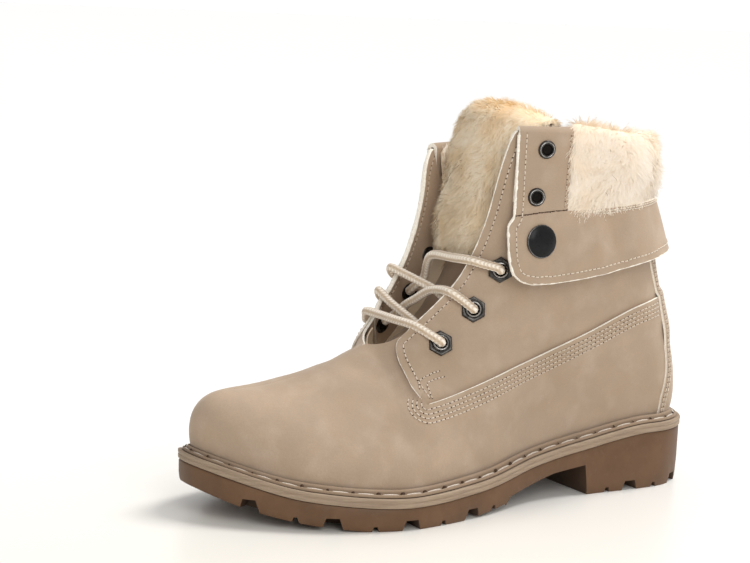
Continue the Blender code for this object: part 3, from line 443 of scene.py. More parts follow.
def shaft_out(side, foot, z):
    """Level outward direction of the shaft."""
    ahead = shaft_point(side, np.maximum(foot - 0.01, SHAFT_FRONT), z)
    behind = shaft_point(side, np.minimum(foot + 0.01, 1.0), z)
    return level_out(side, behind - ahead)


def ring_point(side, foot, z, off):
    """Point at a level distance off the shaft."""
    return shaft_point(side, foot, z) + np.asarray(off, float)[..., None] * shaft_out(side, foot, z)


def ring_foot(side, d, z, off):
    """Rib on which a ring off the shaft passes d."""
    d, z, off = matched(d, z, off)
    trial = np.linspace(SHAFT_FRONT, 1.0, 81)
    passed = ring_point(side, trial, z[..., None], off[..., None])[..., 1]
    pairs = zip(d.ravel(), passed.reshape(-1, len(trial)))
    return np.array([np.interp(-at, -row, trial) for at, row in pairs]).reshape(d.shape)


def level_height(side, share, z):
    """Height of the cuff's level z with its seam lying level."""
    inner = side == "medial"
    fade = (1 + np.cos(pi * share)) / 2
    seam = CUFF_SEAM - (INNER_CUFF_DROP * fade if inner else 0.0)
    above = seam + (z - CUFF_SEAM) * (INNER_TAB_SHARE if inner else 1.0)
    below = seam - (CUFF_SEAM - z) * (CUFF_BACK_SHARE + (1 - CUFF_BACK_SHARE) * fade)
    return np.where(z > CUFF_SEAM, above, below)


def cuff_height(side, share, z):
    """Height of the cuff's nominal level z, its seam climbing towards the back."""
    climb = table(SEAM_CLIMB, "share", "rise", share)
    above, below = (TAB_TOP - z) / (TAB_TOP - CUFF_SEAM), (z - CUFF_LOW) / (CUFF_SEAM - CUFF_LOW)
    reach = np.where(z > CUFF_SEAM, above, below)
    return level_height(side, share, z) + climb * reach


@lru_cache(maxsize=None)
def cuff_map(side):
    """Inside of the cuff at even shares of the way back and even levels."""
    share = np.linspace(0, 1, 241)
    z = np.linspace(CUFF_LOW, TAB_TOP, 73)
    off = table(CUFF_STANDOFF, "z", "off", z)
    front = ring_foot(side, cuff_front(z), cuff_height(side, 0 * z, z), off)[:, None]
    level = cuff_height(side, share[None, :], z[:, None])
    back_ease = through(share, (0.0, 0.4, 1.0), (1.0, 1.0, CUFF_BACK_STANDOFF))[None, :]
    off = off[:, None] * np.where(z[:, None] < CUFF_SEAM, back_ease, 1.0)
    return share, z, ring_point(side, front + share[None, :] * (1.0 - front), level, off)


def cuff_point(side, share, z):
    """Inside of the cuff at a share of the way to the back."""
    shares, levels, points = cuff_map(side)
    share, z = matched(share, z)
    row = (np.clip(z, levels[0], levels[-1]) - levels[0]) / (levels[1] - levels[0])
    column = np.clip(share, 0, 1) * (len(shares) - 1)
    under = np.minimum(row.astype(int), len(levels) - 2)
    before = np.minimum(column.astype(int), len(shares) - 2)
    up, along = (row - under)[..., None], (column - before)[..., None]
    low = points[under, before] * (1 - along) + points[under, before + 1] * along
    high = points[under + 1, before] * (1 - along) + points[under + 1, before + 1] * along
    return low * (1 - up) + high * up


def tab_share(side, z, d):
    """Shares of the way back at which the cuff passes d, level by level."""
    trial = np.linspace(0, 1, 241)
    passed = cuff_point(side, trial[None, :], np.asarray(z, float)[:, None])[..., 1]
    return np.array([np.interp(-d, -row, trial) for row in passed])


def cuff_front(z):
    """Where the cuff's front edge stands at a level."""
    return table(CUFF_FRONT, "z", "d", z)


# ---------------------------------------------------------------- meshes
def to_scene(points):
    """(x, d, z) in millimetres to scene metres."""
    points = np.asarray(points, float)
    return np.stack([points[..., 0], HEEL_SEAT - points[..., 1], points[..., 2]], -1) * MM


def linked(name, data):
    """New object in the scene."""
    thing = bpy.data.objects.new(name, data)
    bpy.context.scene.collection.objects.link(thing)
    return thing


def new_mesh(name, points, faces, shades, paints=None):
    """Mesh over scene points, with a shade at each point and a paint on each face."""
    mesh = bpy.data.meshes.new(name)
    mesh.from_pydata(points.tolist(), [], faces)
    if paints is not None:
        mesh.polygons.foreach_set("material_index", paints)
    shade = mesh.attributes.new("shade", "FLOAT", "POINT")
    shade.data.foreach_set("value", shades.astype(np.float32))
    return mesh


def mend(mesh, weld=0.0, outward=True):
    """Welds points closer than weld millimetres and turns the faces outwards."""
    work = bmesh.new()
    work.from_mesh(mesh)
    if weld:
        bmesh.ops.remove_doubles(work, verts=work.verts, dist=weld * MM)
        bmesh.ops.dissolve_degenerate(work, edges=work.edges, dist=1e-7)
    if outward:
        bmesh.ops.recalc_face_normals(work, faces=work.faces)
    work.to_mesh(mesh)
    work.free()


def finished(name, mesh, materials, sharp):
    """Object with its materials, smooth but for edges that bend more than sharp degrees."""
    for material in materials:
        mesh.materials.append(material)
    mesh.shade_smooth()
    thing = linked(name, mesh)
    if sharp:
        mesh.set_sharp_from_angle(angle=radians(sharp))
    return thing


class Form:
    """Gathers points and faces, with a paint for each face and a shade for each point."""

    def __init__(self):
        self.points, self.faces, self.paints, self.shades = [], [], [], []
        self.count = 0

    def add(self, points, faces, paint=0, shade=0.0):
        """Points with faces over them, which number these points from 0."""
        points = np.asarray(points, float).reshape(-1, 3)
        self.cover([[i + self.count for i in face] for face in faces], paint)
        self.points.append(points)
        self.shades.append(np.zeros(len(points)) + np.ravel(shade))
        self.count += len(points)

    def cover(self, faces, paint=0):
        """Faces over points that are gathered already."""
        self.faces += [list(face) for face in faces]
        self.paints += [paint] * len(faces)

    def grid(self, points, flip=False, paint=0, shade=0.0, around=False, over=False):
        """Rows and columns of points; around joins the last column to the first, over the
        last row to the first."""
        rows, columns = points.shape[:2]
        row = np.arange(rows if over else rows - 1)[:, None]
        column = np.arange(columns if around else columns - 1)[None, :]
        next_row, next_column = (row + 1) % rows, (column + 1) % columns
        corners = ((row, column), (row, next_column), (next_row, next_column), (next_row, column))
        quads = np.stack([down * columns + along for down, along in corners], -1).reshape(-1, 4)
        quads = quads[:, ::-1 if flip else 1]
        self.add(points, quads.tolist(), paint, shade)

    def half(self, side, points, shade=0.0):
        """Rows and columns of points on one side of the boot, facing outwards."""
        self.grid(points, side == "medial", shade=shade)

    def cap(self, start, count, paint=0, flip=False):
        """One face over count points in a row."""
        face = range(start, start + count)
        self.cover([face[::-1] if flip else face], paint)

    def tube(self, loops, paint=0, shade=0.0):
        """Tube through loops of points, with both ends closed."""
        start, sides = self.count, loops.shape[1]
        self.grid(loops, around=True, paint=paint, shade=shade)
        self.cap(start, sides, paint)
        self.cap(self.count - sides, sides, paint)

    def make(self, name, materials, weld=0.0, outward=False, sharp=40):
        """The gathered shape as a piece of the scene, its points welded when they are closer
        than weld millimetres, its faces turned outwards, its edges sharp past an angle."""
        points = to_scene(np.vstack(self.points))
        mesh = new_mesh(name, points, self.faces, np.concatenate(self.shades), self.paints)
        if weld or outward:
            mend(mesh, weld, outward)
        return finished(name, mesh, materials, sharp)


def thicken(thing, thickness, rim=0, inside=0, outward=False):
    """Gives a sheet its thickness in millimetres, with other paints on its rim and back."""
    shell = thing.modifiers.new("thickness", "SOLIDIFY")
    shell.thickness = thickness * MM
    shell.offset = 1.0 if outward else -1.0
    shell.material_offset_rim = rim
    shell.material_offset = inside
    settle_modifiers(thing)


def settle_modifiers(thing, sharp=40):
    """Turns the modifiers of a piece into its own mesh."""
    graph = bpy.context.evaluated_depsgraph_get()
    mesh = bpy.data.meshes.new_from_object(thing.evaluated_get(graph))
    old = thing.data
    thing.modifiers.clear()
    thing.data = mesh
    bpy.data.meshes.remove(old)
    if sharp:
        mesh.set_sharp_from_angle(angle=radians(sharp))


def place(thing, slot, *nodes):
    """Every piece rides on the one body; slot is not used, nodes what it stands for."""
    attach(thing, "root")
    if nodes:
        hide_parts(*nodes)


def loose(form, name, *materials):
    """Small work on other pieces, such as a row of stitches, with no finish to choose."""
    place(form.make(name, materials, sharp=0), None)


def panel(form, name, thickness, *nodes, weld=0.0, outward=False):
    """Leather panel with its cut rim and its rougher back."""
    thing = form.make(name, [NUBUCK, CUT, FACING], weld)
    thicken(thing, thickness, rim=1, inside=2, outward=outward)
    place(thing, "nubuck", *nodes)


def ripple(points, wavelength, height, seed=0.0):
    """Smooth random swell of the surface, the same every run."""
    flat = np.asarray(points, float).reshape(-1, 3) / wavelength + seed
    values = np.array([noise.noise(Vector(spot)) for spot in flat])
    return height * values.reshape(np.shape(points)[:-1])


def tree_of(points):
    """Search tree that finds the nearest of points."""
    tree = kdtree.KDTree(len(points))
    for i, point in enumerate(points):
        tree.insert(point, i)
    tree.balance()
    return tree


def distance_to(points, line):
    """Distance of each point from the nearest point of a line."""
    tree = tree_of(line)
    return np.array([tree.find(point)[2] for point in points])


def even_steps(points, pitch):
    """Running positions along a line, pitch apart (close to it), from end to end."""
    length = running(points)
    count = max(int(round(length[-1] / pitch)), 1)
    return length, np.linspace(0, length[-1], count + 1)


def heading(line):
    """Direction of a line at each of its points."""
    return unit(np.gradient(line, axis=0))


def circle(steps):
    """Cosines and sines of even steps round a circle, as two columns."""
    angle = 2 * pi * np.arange(steps)[:, None] / steps
    return np.cos(angle), np.sin(angle)


# ---------------------------------------------------------------- materials
def feed(tree, socket, value):
    """Links a socket's value, or sets a constant."""
    if isinstance(value, bpy.types.NodeSocket):
        tree.links.new(value, socket)
    else:
        socket.default_value = value


def add_node(tree, kind, inputs=(), **settings):
    """Node with its settings, and with its inputs fed."""
    node = tree.nodes.new(kind)
    for name, value in settings.items():
        setattr(node, name, value)
    for socket, value in dict(inputs).items():
        feed(tree, node.inputs[socket], value)
    return node


def opaque(colour):
    """Plain colour with its alpha, or a socket as it is."""
    return (*colour, 1.0) if isinstance(colour, tuple) else colour


class Paint:
    """Short way to build a node material round one Principled shader."""

    def __init__(self, name, **settings):
        self.material = bpy.data.materials.new(name)
        self.material.use_nodes = True
        self.tree = self.material.node_tree
        self.shader = self.tree.nodes["Principled BSDF"]
        for socket, value in settings.items():
            self.shader.inputs[socket.replace("_", " ")].default_value = value
        self.where = self.add("ShaderNodeTexCoord").outputs["Object"]

    def add(self, kind, inputs=(), **settings):
        return add_node(self.tree, kind, inputs, **settings)

    def stretched(self, scale):
        return self.add("ShaderNodeMapping", {"Vector": self.where, "Scale": scale}).outputs["Vector"]

    def distance(self, spot):
        """Distance from a spot of the scene."""
        node = self.add("ShaderNodeVectorMath", {0: self.where, 1: spot}, operation="DISTANCE")
        return node.outputs["Value"]

    def noise(self, size, detail=3.0, rough=0.5, where=None, distort=0.0):
        """Noise whose features are about size millimetres across."""
        return self.add("ShaderNodeTexNoise", {
            "Vector": where or self.where, "Scale": 1.0 / (size * MM), "Detail": detail,
            "Roughness": rough, "Distortion": distort}).outputs["Fac"]

    def ramp(self, value, low, high, start=0.0, end=1.0):
        """value from low..high to start..end, clamped."""
        return self.add("ShaderNodeMapRange", {"Value": value, "From Min": low, "From Max": high,
                                               "To Min": start, "To Max": end}).outputs["Result"]

    def math(self, operation, a, b=0.0):
        return self.add("ShaderNodeMath", {0: a, 1: b}, operation=operation).outputs[0]

    def mix(self, share, a, b):
        """Colour a to b by share."""
        inputs = {0: share, 6: opaque(a), 7: opaque(b)}
        return self.add("ShaderNodeMix", inputs, data_type="RGBA").outputs[2]

    def shade(self):
        """Value that the piece gives to each of its points."""
        return self.add("ShaderNodeAttribute", attribute_name="shade").outputs["Fac"]

    def shape(self, colour, *layers, roughness=None):
        """Colour and roughness of the shader, and its bumps as (height, millimetres) pairs."""
        self.tree.links.new(colour, self.shader.inputs["Base Color"])
        if roughness:
            self.tree.links.new(roughness, self.shader.inputs["Roughness"])
        normal = {}
        for height, depth in layers:
            inputs = {"Height": height, "Strength": 1.0, "Distance": depth * MM, **normal}
            normal = {"Normal": self.add("ShaderNodeBump", inputs).outputs["Normal"]}
        if layers:
            self.tree.links.new(normal["Normal"], self.shader.inputs["Normal"])
        return self.material


def nubuck(name="nubuck", tint=(1.0, 1.0, 1.0)):
    """Napped leather: warm and grey clouds, fine grain, and painted shade where the piece's shade is high.
    """
    paint = Paint(name, Roughness=0.8, Sheen_Weight=0.25, Sheen_Roughness=0.45, Specular_IOR_Level=0.25)
    paint.shader.inputs["Sheen Tint"].default_value = (1.0, 0.9, 0.8, 1.0)

    def tone(r, g, b):
        return (r * tint[0], 0.975 * g * tint[1], 0.955 * b * tint[2])

    broad = paint.ramp(paint.noise(34, 2.5, 0.55), 0.36, 0.64)
    cloud = paint.ramp(paint.noise(11, 3.0, 0.6, distort=0.4), 0.34, 0.68)
    warm = paint.mix(broad, tone(0.375, 0.282, 0.200), tone(0.44, 0.335, 0.245))
    patchy = paint.mix(paint.math("MULTIPLY", cloud, 0.55), warm, tone(0.365, 0.290, 0.225))
    pale = paint.ramp(paint.noise(15, 2.5, 0.55), 0.50, 0.74, 0.0, 0.5)
    brushed = paint.mix(pale, patchy, tone(0.49, 0.395, 0.315))
    grain = paint.ramp(paint.noise(0.7, 3.0, 0.6), 0.3, 0.7)
    grained = paint.mix(paint.math("MULTIPLY", grain, 0.26), brushed, tone(0.29, 0.215, 0.15))
    # painted shade along seams, in the welt's groove and over the tongue's leather face; darker towards the
    # sole
    painted_shade = paint.mix(paint.math("MULTIPLY", paint.shade(), 0.55), grained, tone(0.19, 0.13, 0.085))
    bumps = [(paint.noise(size, 2.0), depth) for size, depth in ((6.0, 0.14), (1.1, 0.08), (0.28, 0.04))]
    return paint.shape(painted_shade, *bumps, roughness=paint.ramp(cloud, 0.0, 1.0, 0.86, 0.72))


def cut_edge():
    """Pale raw edge of the split leather."""
    paint = Paint("cut_edge", Roughness=0.9)
    fibre = paint.noise(0.6, 3.0, 0.7)
    colour = paint.mix(paint.ramp(fibre, 0.3, 0.6), (0.72, 0.64, 0.52), (0.95, 0.91, 0.83))
    return paint.shape(colour, (fibre, 0.12))


def thread(name, light, dark):
    """Twisted thread with an uneven tone."""
    paint = Paint(name, Roughness=0.7, Sheen_Weight=0.3)
    return paint.shape(paint.mix(paint.ramp(paint.noise(0.5, 2.0), 0.35, 0.65), dark, light))


def hole(name="needle_hole", dark=(0.055, 0.032, 0.02), light=(0.085, 0.052, 0.035)):
    """Painted shade inside a hole."""
    paint = Paint(name, Roughness=0.95, Specular_IOR_Level=0.1)
    return paint.shape(paint.mix(paint.noise(0.5), dark, light))


def sole_rubber(name="sole_rubber", depth=1.0):
    """Brown rubber with a little dust; where depth is below one, mostly near-black painted shade."""
    paint = Paint(name, Roughness=0.5, Specular_IOR_Level=0.35)
    cloud = paint.ramp(paint.noise(16, 3.0, 0.6), 0.35, 0.65)
    base = paint.mix(cloud, (0.112, 0.056, 0.025), (0.144, 0.076, 0.037))
    dust = paint.ramp(paint.noise(3.0, 4.0, 0.65), 0.55, 0.8, 0.0, 0.25)
    dusty = paint.mix(dust, base, (0.185, 0.122, 0.078))
    return paint.shape(paint.mix(depth, (0.02, 0.012, 0.008), dusty), (paint.noise(0.6, 2.0), 0.03),
                       (paint.noise(9.0), 0.08), roughness=paint.ramp(cloud, 0.0, 1.0, 0.45, 0.62))


def midsole_rubber():
    """Light band, faintly drawn out along the sole."""
    paint = Paint("midsole_rubber", Roughness=0.6, Specular_IOR_Level=0.3)
    drawn = paint.noise(5.0, 3.0, 0.6, where=paint.stretched((0.25, 0.25, 5.0)))
    mottle = paint.noise(7.0, 3.0, 0.6)
    base = paint.mix(paint.ramp(drawn, 0.35, 0.65), (0.275, 0.20, 0.138), (0.35, 0.265, 0.19))
    return paint.shape(paint.mix(paint.ramp(mottle, 0.5, 0.75, 0.0, 0.4), base, (0.25, 0.19, 0.14)),
                       (drawn, 0.12), (paint.noise(0.6), 0.03))


def fleece(name, root, tip, patch, stain=None):
    """Wool pile: deeper colour at the root, partly the wool's tone and partly painted shade among strands
    that cast no shadows; tan patches and pale tips, a stain at a point.
    """
    paint = Paint(name, Roughness=0.95, Specular_IOR_Level=0.1)
    tan = paint.ramp(paint.noise(17, 2.5, 0.55, distort=0.5), 0.46, 0.68)
    lock = paint.ramp(paint.noise(2.2, 2.0, 0.5), 0.3, 0.7, 0.0, 0.35)
    pale = paint.mix(paint.math("MULTIPLY", tan, 0.8), tip, patch)
    streaked = paint.mix(lock, pale, patch)
    if stain:
        ragged = paint.ramp(paint.noise(7, 2.0), 0.3, 0.7, -0.003, 0.003)
        uneven = paint.math("ADD", paint.distance(to_scene(stain)), ragged)
        streaked = paint.mix(paint.ramp(uneven, 0.004, 0.018, 0.55, 0.0), streaked, (0.52, 0.37, 0.19))
    return paint.shape(paint.mix(paint.shade(), root, streaked))


def metal(name, dark, light, rough):
    """Worn metal between two tones."""
    paint = Paint(name, Metallic=1.0)
    worn = paint.ramp(paint.noise(2.5, 4.0, 0.6), 0.35, 0.7)
    return paint.shape(paint.mix(worn, dark, light), (paint.noise(0.5, 2.0), 0.01),
                       roughness=paint.ramp(paint.noise(0.8, 3.0), 0.3, 0.7, rough, rough + 0.12))


def snap_black():
    """Black lacquer of the snap's dome."""
    paint = Paint("snap_metal", Metallic=0.0, Specular_IOR_Level=0.14, Coat_Weight=0.08, Coat_Roughness=0.1)
    colour = paint.mix(paint.noise(3.0, 3.0), (0.004, 0.004, 0.004), (0.010, 0.010, 0.011))
    rough = paint.ramp(paint.noise(1.2, 3.0), 0.3, 0.7, 0.25, 0.38)
    return paint.shape(colour, (paint.noise(0.7, 2.0), 0.01), roughness=rough)


def lace_cord():
    """Cream cord, tan where the braid's shade is low: its tan stripes, and painted shade between its ribs.
    """
    paint = Paint("lace_cord", Roughness=0.85, Sheen_Weight=0.35)
    flecks = paint.noise(0.9, 3.0, 0.7)
    base = paint.mix(paint.ramp(paint.shade(), 0.15, 0.85), (0.47, 0.34, 0.215), (0.88, 0.80, 0.69))
    return paint.shape(paint.mix(paint.ramp(flecks, 0.4, 0.7, 0.0, 0.35), base, (0.90, 0.84, 0.76)),
                       (paint.noise(0.35, 2.0), 0.05))


NUBUCK = nubuck()
FACING = nubuck("nubuck_facing", (0.98, 0.95, 0.93))
WELT = nubuck("welt_leather", (0.74, 0.71, 0.68))
CUT = cut_edge()
HOLE = hole()
# painted shade in the eyelets' holes
EYELET_DARK = hole("eyelet_dark", (0.006, 0.005, 0.004), (0.012, 0.010, 0.009))
CREAM_THREAD = thread("cream_thread", (0.80, 0.72, 0.60), (0.58, 0.49, 0.38))
TAN_THREAD = thread("tan_thread", (0.62, 0.51, 0.40), (0.44, 0.34, 0.25))
PANEL_THREAD = thread("panel_thread", (0.76, 0.67, 0.56), (0.52, 0.42, 0.325))
WELT_THREAD = thread("welt_thread", (0.74, 0.68, 0.60), (0.52, 0.45, 0.37))
SOLE = sole_rubber()
# painted shade for the faces that the cutters leave: under the waist and inside the notches and grooves
SHADED_CUTS = sole_rubber("cut_shade_rubber", 0.35)
MIDSOLE = midsole_rubber()
PILE = fleece("fleece", (0.86, 0.74, 0.60), (0.93, 0.87, 0.79), (0.90, 0.79, 0.65))
TONGUE_PILE = fleece("tongue_fleece", (0.84, 0.69, 0.48), (0.97, 0.89, 0.75), (0.82, 0.62, 0.38),
                     stain=(-1.0, 140.0, 136.0))
LINING = fleece("lining", (0.70, 0.58, 0.44), (0.88, 0.79, 0.66), (0.76, 0.64, 0.49))
GUNMETAL = metal("gunmetal", (0.030, 0.028, 0.026), (0.085, 0.08, 0.075), 0.24)
BRIGHT_RIM = metal("bright_rim", (0.42, 0.41, 0.40), (0.62, 0.61, 0.60), 0.22)
STEEL_LIP = metal("steel_lip", (0.22, 0.215, 0.21), (0.42, 0.41, 0.40), 0.2)
SNAP_RIM = metal("snap_rim", (0.07, 0.068, 0.066), (0.20, 0.195, 0.19), 0.2)
SNAP = snap_black()
LACE = lace_cord()


# ---------------------------------------------------------------- seams of the upper
Spot = namedtuple("Spot", "foot t")
FRONT_EDGE = listed(Spot,  # front edge of the quarter, from its lower corner to the throat
    (0.399, 0.500), (0.391, 0.560), (0.384, 0.642), (0.383, 0.766), (0.390, 0.890), (0.4055, 0.966),
    (0.440, 1.0))
LOWER_EDGE = listed(Level,  # upper edge of the lower panel as seen from the side, heel to toe
    (19.6, 99.9), (24.5, 98.3), (37.0, 96.8), (48.0, 94.4), (60.0, 90.0), (83.0, 80.5), (102.0, 73.6),
    (132.0, 64.6), (156.0, 57.8), (174.5, 53.3))
STAY_EDGE = listed(Spot,  # edge of the strip over the back seam
    (0.868, 0.0), (0.872, 0.097), (0.881, 0.155), (0.8915, 0.239), (0.896, 0.330), (0.897, 0.517),
    (0.892, 0.640), (0.890, 0.80))
HOOK_OUTER = ((0.449, 0.676), (0.437, 0.678), (0.413, 0.664), (0.399, 0.639), (0.396, 0.601))
HOOK_INNER = ((0.453, 0.634), (0.436, 0.638), (0.417, 0.630), (0.412, 0.608), (0.412, 0.558),
              (0.415, 0.534))
CORNER = FRONT_EDGE[0]
LEATHER = 1.15  # thickness
LINING_THICKNESS = 0.6
FACING_THICKNESS = 1.0
FACING_GAP = 0.1
PANEL_LIFT = 1.25  # rise of a panel that lies over another
TUCK = 5.0  # how far a panel reaches under another
FACING_WIDTH = {"lateral": 14.0, "medial": 30.0}
PITCH = 2.6  # from one stitch to the next
THREAD = 0.27  # radius
FINE_THREAD = 0.24
THROAT_ROW = 3.6  # stitch row inside the throat edge
MEET_ALL = 9.0  # reach that brings two halves together whatever their gap
TOE_TIP = 0.9  # radius round the toe in which the halves' points become one

Crease = namedtuple("Crease", "side foot t to_foot to_t depth width")
CREASES = listed(Crease,  # soft troughs (depth below zero) and ridges of the walked-in leather
    ("lateral", 0.30, 0.86, 0.37, 0.52, -0.55, 5.0),
    ("lateral", 0.27, 0.80, 0.33, 0.50, 0.35, 6.0),
    ("lateral", 0.44, 0.34, 0.50, 0.08, -0.50, 5.0),
    ("lateral", 0.50, 0.36, 0.55, 0.12, 0.45, 5.5),
    ("lateral", 0.56, 0.66, 0.68, 0.50, -0.60, 7.0),
    ("lateral", 0.60, 0.74, 0.75, 0.60, 0.40, 7.0),
    ("lateral", 0.72, 0.30, 0.84, 0.22, -0.40, 6.0),
    ("medial", 0.29, 0.86, 0.37, 0.50, -0.55, 5.0),
    ("medial", 0.44, 0.36, 0.52, 0.10, -0.50, 6.0),
    ("medial", 0.56, 0.66, 0.70, 0.50, -0.60, 7.0),
    ("medial", 0.62, 0.76, 0.78, 0.62, 0.45, 7.0))


def front_edge(t):
    """Rib on which the quarter's front edge lies at a height."""
    return table(FRONT_EDGE, "t", "foot", t)


@lru_cache(maxsize=None)
def lower_crossings(side):
    """Ribs, and how far up each of them the lower panel's edge passes."""
    foot = np.linspace(CORNER.foot, 1.0, 240)
    t = np.linspace(0.2, 0.75, 160)
    points = upper_point(side, foot[None, :], t[:, None])
    over = points[..., 2] - table(LOWER_EDGE, "d", "z", points[..., 1])
    cross = np.array([np.interp(0.0, column, t) for column in over.T])
    return foot, cross + (CORNER.t - cross[0]) * (1 - ease((foot - CORNER.foot) / 0.03))


def lower_edge(side, foot):
    """How far up its ribs the lower panel's edge passes."""
    return np.interp(foot, *lower_crossings(side))


def stay_edge(t):
    """Rib on which the back stay's edge lies at a height."""
    return table(STAY_EDGE, "t", "foot", t)


@lru_cache(maxsize=None)
def front_line(side):
    """The quarter's front edge on the last."""
    t = np.linspace(CORNER.t, 1.0, 120)
    return upper_point(side, front_edge(t), t)


@lru_cache(maxsize=None)
def lower_line(side):
    """The lower panel's edge on the last."""
    foot = np.linspace(CORNER.foot, 1.0, 260)
    return upper_point(side, foot, lower_edge(side, foot))


@lru_cache(maxsize=None)
def crease_line(row):
    """Middle of one crease on the last."""
    share = np.linspace(0, 1, 24)
    foot = row.foot + share * (row.to_foot - row.foot)
    return upper_point(row.side, foot, row.t + share * (row.to_t - row.t))


def near(points, line, reach):
    """Distance to a line, found only for the points within reach of its box."""
    low, high = line.min(0) - reach, line.max(0) + reach
    inside = ((points >= low) & (points <= high)).all(-1)
    out = np.full(points.shape[:-1], 1e3)
    if inside.any():
        out[inside] = distance_to(points[inside], line)
    return out


def relief(side, points):
    """Slow swell of the leather and its creases, as millimetres outwards."""
    out = ripple(points, 34.0, 0.45) + ripple(points, 13.0, 0.16, 7.3)
    for row in CREASES:
        if row.side == side:
            gap = near(points, crease_line(row), 3 * row.width)
            out = out + row.depth * np.exp(-((gap / row.width) ** 2))
    return out


def panel_lift(side, foot, t, points):
    """The vamp and lower panel are one: they rise where they lie over the quarter's edge."""
    gap = near(points, lower_line(side), 26.0)
    rise = (t - CORNER.t) * np.linalg.norm(upper_slopes(side, foot, t)[1], axis=-1)
    ahead = foot < front_edge(t)
    fade = np.where(ahead, 1 - ease(rise / 6.0), 1.0)
    return PANEL_LIFT * (1 - ease((gap - 9.0) / 12.0)) * fade


def quarter_lift(side, foot, t, points):
    """The quarter rises where it lies over the vamp behind its front edge."""
    gap = near(points, front_line(side), 20.0)
    over = near(points, lower_line(side), 20.0)
    clear = np.where(t > lower_edge(side, foot), ease(over / 6.0), 0.0)
    return PANEL_LIFT * (1 - ease((gap - 7.0) / 10.0)) * clear


def stay_lift(side, foot, t, points):
    """The back stay lies on the quarters, and rises where it passes over the lower panel."""
    gap = near(points, lower_line(side), 8.0)
    step = np.where(t > lower_edge(side, foot), 1 - ease(gap / 4.0), 1.0)
    return LEATHER - 0.2 + PANEL_LIFT * step * (1 - ease((lower_edge(side, foot) - t - 0.10) / 0.10))


def face_of(lift):
    """Outer face of a panel, and further out by extra."""
    def outer(side, foot, t, extra=0.0):
        foot, t = matched(foot, t)
        bare = upper_point(side, foot, t)
        off = lift(side, foot, t, bare) + relief(side, bare) + extra
        return bare + off[..., None] * upper_normal(side, foot, t)
    return outer


vamp_face = face_of(panel_lift)
quarter_face = face_of(quarter_lift)
stay_face = face_of(stay_lift)


def meet(one, other, line, reach=0.7):
    """Brings two halves together along a row or column wherever they are within reach."""
    gap = np.linalg.norm(one[line] - other[line], axis=-1)[:, None]
    middle = (one[line] + other[line]) / 2
    one[line] = np.where(gap < reach, middle, one[line])
    other[line] = np.where(gap < reach, middle, other[line])


# ---------------------------------------------------------------- stitches
STITCH_RINGS = ((-0.02, -0.30, 0.55), (0.16, 0.22, 1.0), (0.5, 0.42, 1.12), (0.84, 0.22, 1.0),
                (1.02, -0.30, 0.55))  # share of the stitch, height, thickness


def add_stitches(form, line, normals, pitch=PITCH, radius=THREAD, share=0.78, paint=0, hole=0.42,
                 loft=1.0):
    """One row of threads lying between needle holes, which have the paint 1."""
    length, stops = even_steps(line, pitch)
    step = stops[1] - stops[0]
    starts = stops[:-1] + 0.5 * (1 - share) * step
    cosine, sine = circle(6)
    rings = []
    for along, height, thick in STITCH_RINGS:
        at = starts + along * share * step
        spot, out = walk(line, at, length), unit(walk(normals, at, length))
        run = unit(walk(line, at + 0.1, length) - walk(line, at - 0.1, length))
        over = np.cross(out, run)
        middle = spot + height * loft * 0.8 * radius / THREAD * out
        rings.append(middle[:, None] + radius * thick * (cosine * over[:, None] + sine * out[:, None]))
    for thread in np.stack(rings, 1):
        form.tube(thread, paint, 0.5)
    if hole:
        add_holes(form, walk(line, stops, length), unit(walk(normals, stops, length)), hole)


def add_edge(form, line, normals, thick, width):
    """Raw cut edge of a panel: an uneven rounded bead, thick through the leather."""
    length, stops = even_steps(line, 0.9)
    spot, out = walk(line, stops, length), unit(walk(normals, stops, length))
    over = unit(np.cross(out, heading(spot)))
    cosine, sine = circle(8)
    uneven = (1 + 0.9 * ripple(spot, 2.6, 0.25) + 0.5 * ripple(spot, 0.9, 0.2))[:, None, None]
    form.tube(spot[:, None] + uneven * (thick * cosine * out[:, None] + width * sine * over[:, None]))


def add_holes(form, spots, normals, radius):
    """Needle holes: small flat lenses of painted shade that stand a hair above the leather."""
    sides = 7
    cosine, sine = circle(sides)
    for spot, out in zip(spots, normals):
        side = unit(np.cross(out, (0.3, 0.5, 0.81)))
        other = np.cross(out, side)
        turn = 40.0 * spot[1] + 17.0 * spot[2]
        spot = spot + 0.12 * (sin(turn) * side + cos(2.3 * turn) * other)
        wide = radius * (1 + 0.22 * sin(3.1 * turn))
        ring = spot + wide * (cosine * side + 0.8 * sine * other)
        points = np.vstack([spot + 0.10 * out, ring + 0.02 * out, spot - 0.4 * out])
        tips = [(0, 1 + i, 1 + (i + 1) % sides) for i in range(sides)]
        tips += [(sides + 1, 1 + (i + 1) % sides, 1 + i) for i in range(sides)]
        form.add(points, tips, 1)


def row_on(form, face, side, foot, t, **settings):
    """A stitch row on a face of the upper along (foot, t)."""
    add_stitches(form, face(side, foot, t), upper_normal(side, foot, t), **settings)


def smooth_spots(spots, count=60):
    """Rounded line through a few given (foot, t) spots."""
    share, at = np.linspace(0, 1, len(spots)), np.linspace(0, 1, count)
    return [through(at, share, column) for column in zip(*spots)]


# ---------------------------------------------------------------- upper panels
def seam_shade(gap, reach=2.2):
    """Painted shade that gathers in a seam, beside the edge of a panel that lies over another."""
    return 0.55 * np.exp(-((gap / reach) ** 2))


def hidden_edge(side, t):
    """Edge of the vamp under the quarter, which runs out at the quarter's corner."""
    foot = front_edge(t)
    along = np.linalg.norm(upper_slopes(side, foot, t)[0], axis=-1)
    return foot + TUCK * ease((t - CORNER.t) / 0.08) / np.maximum(along, 150.0)


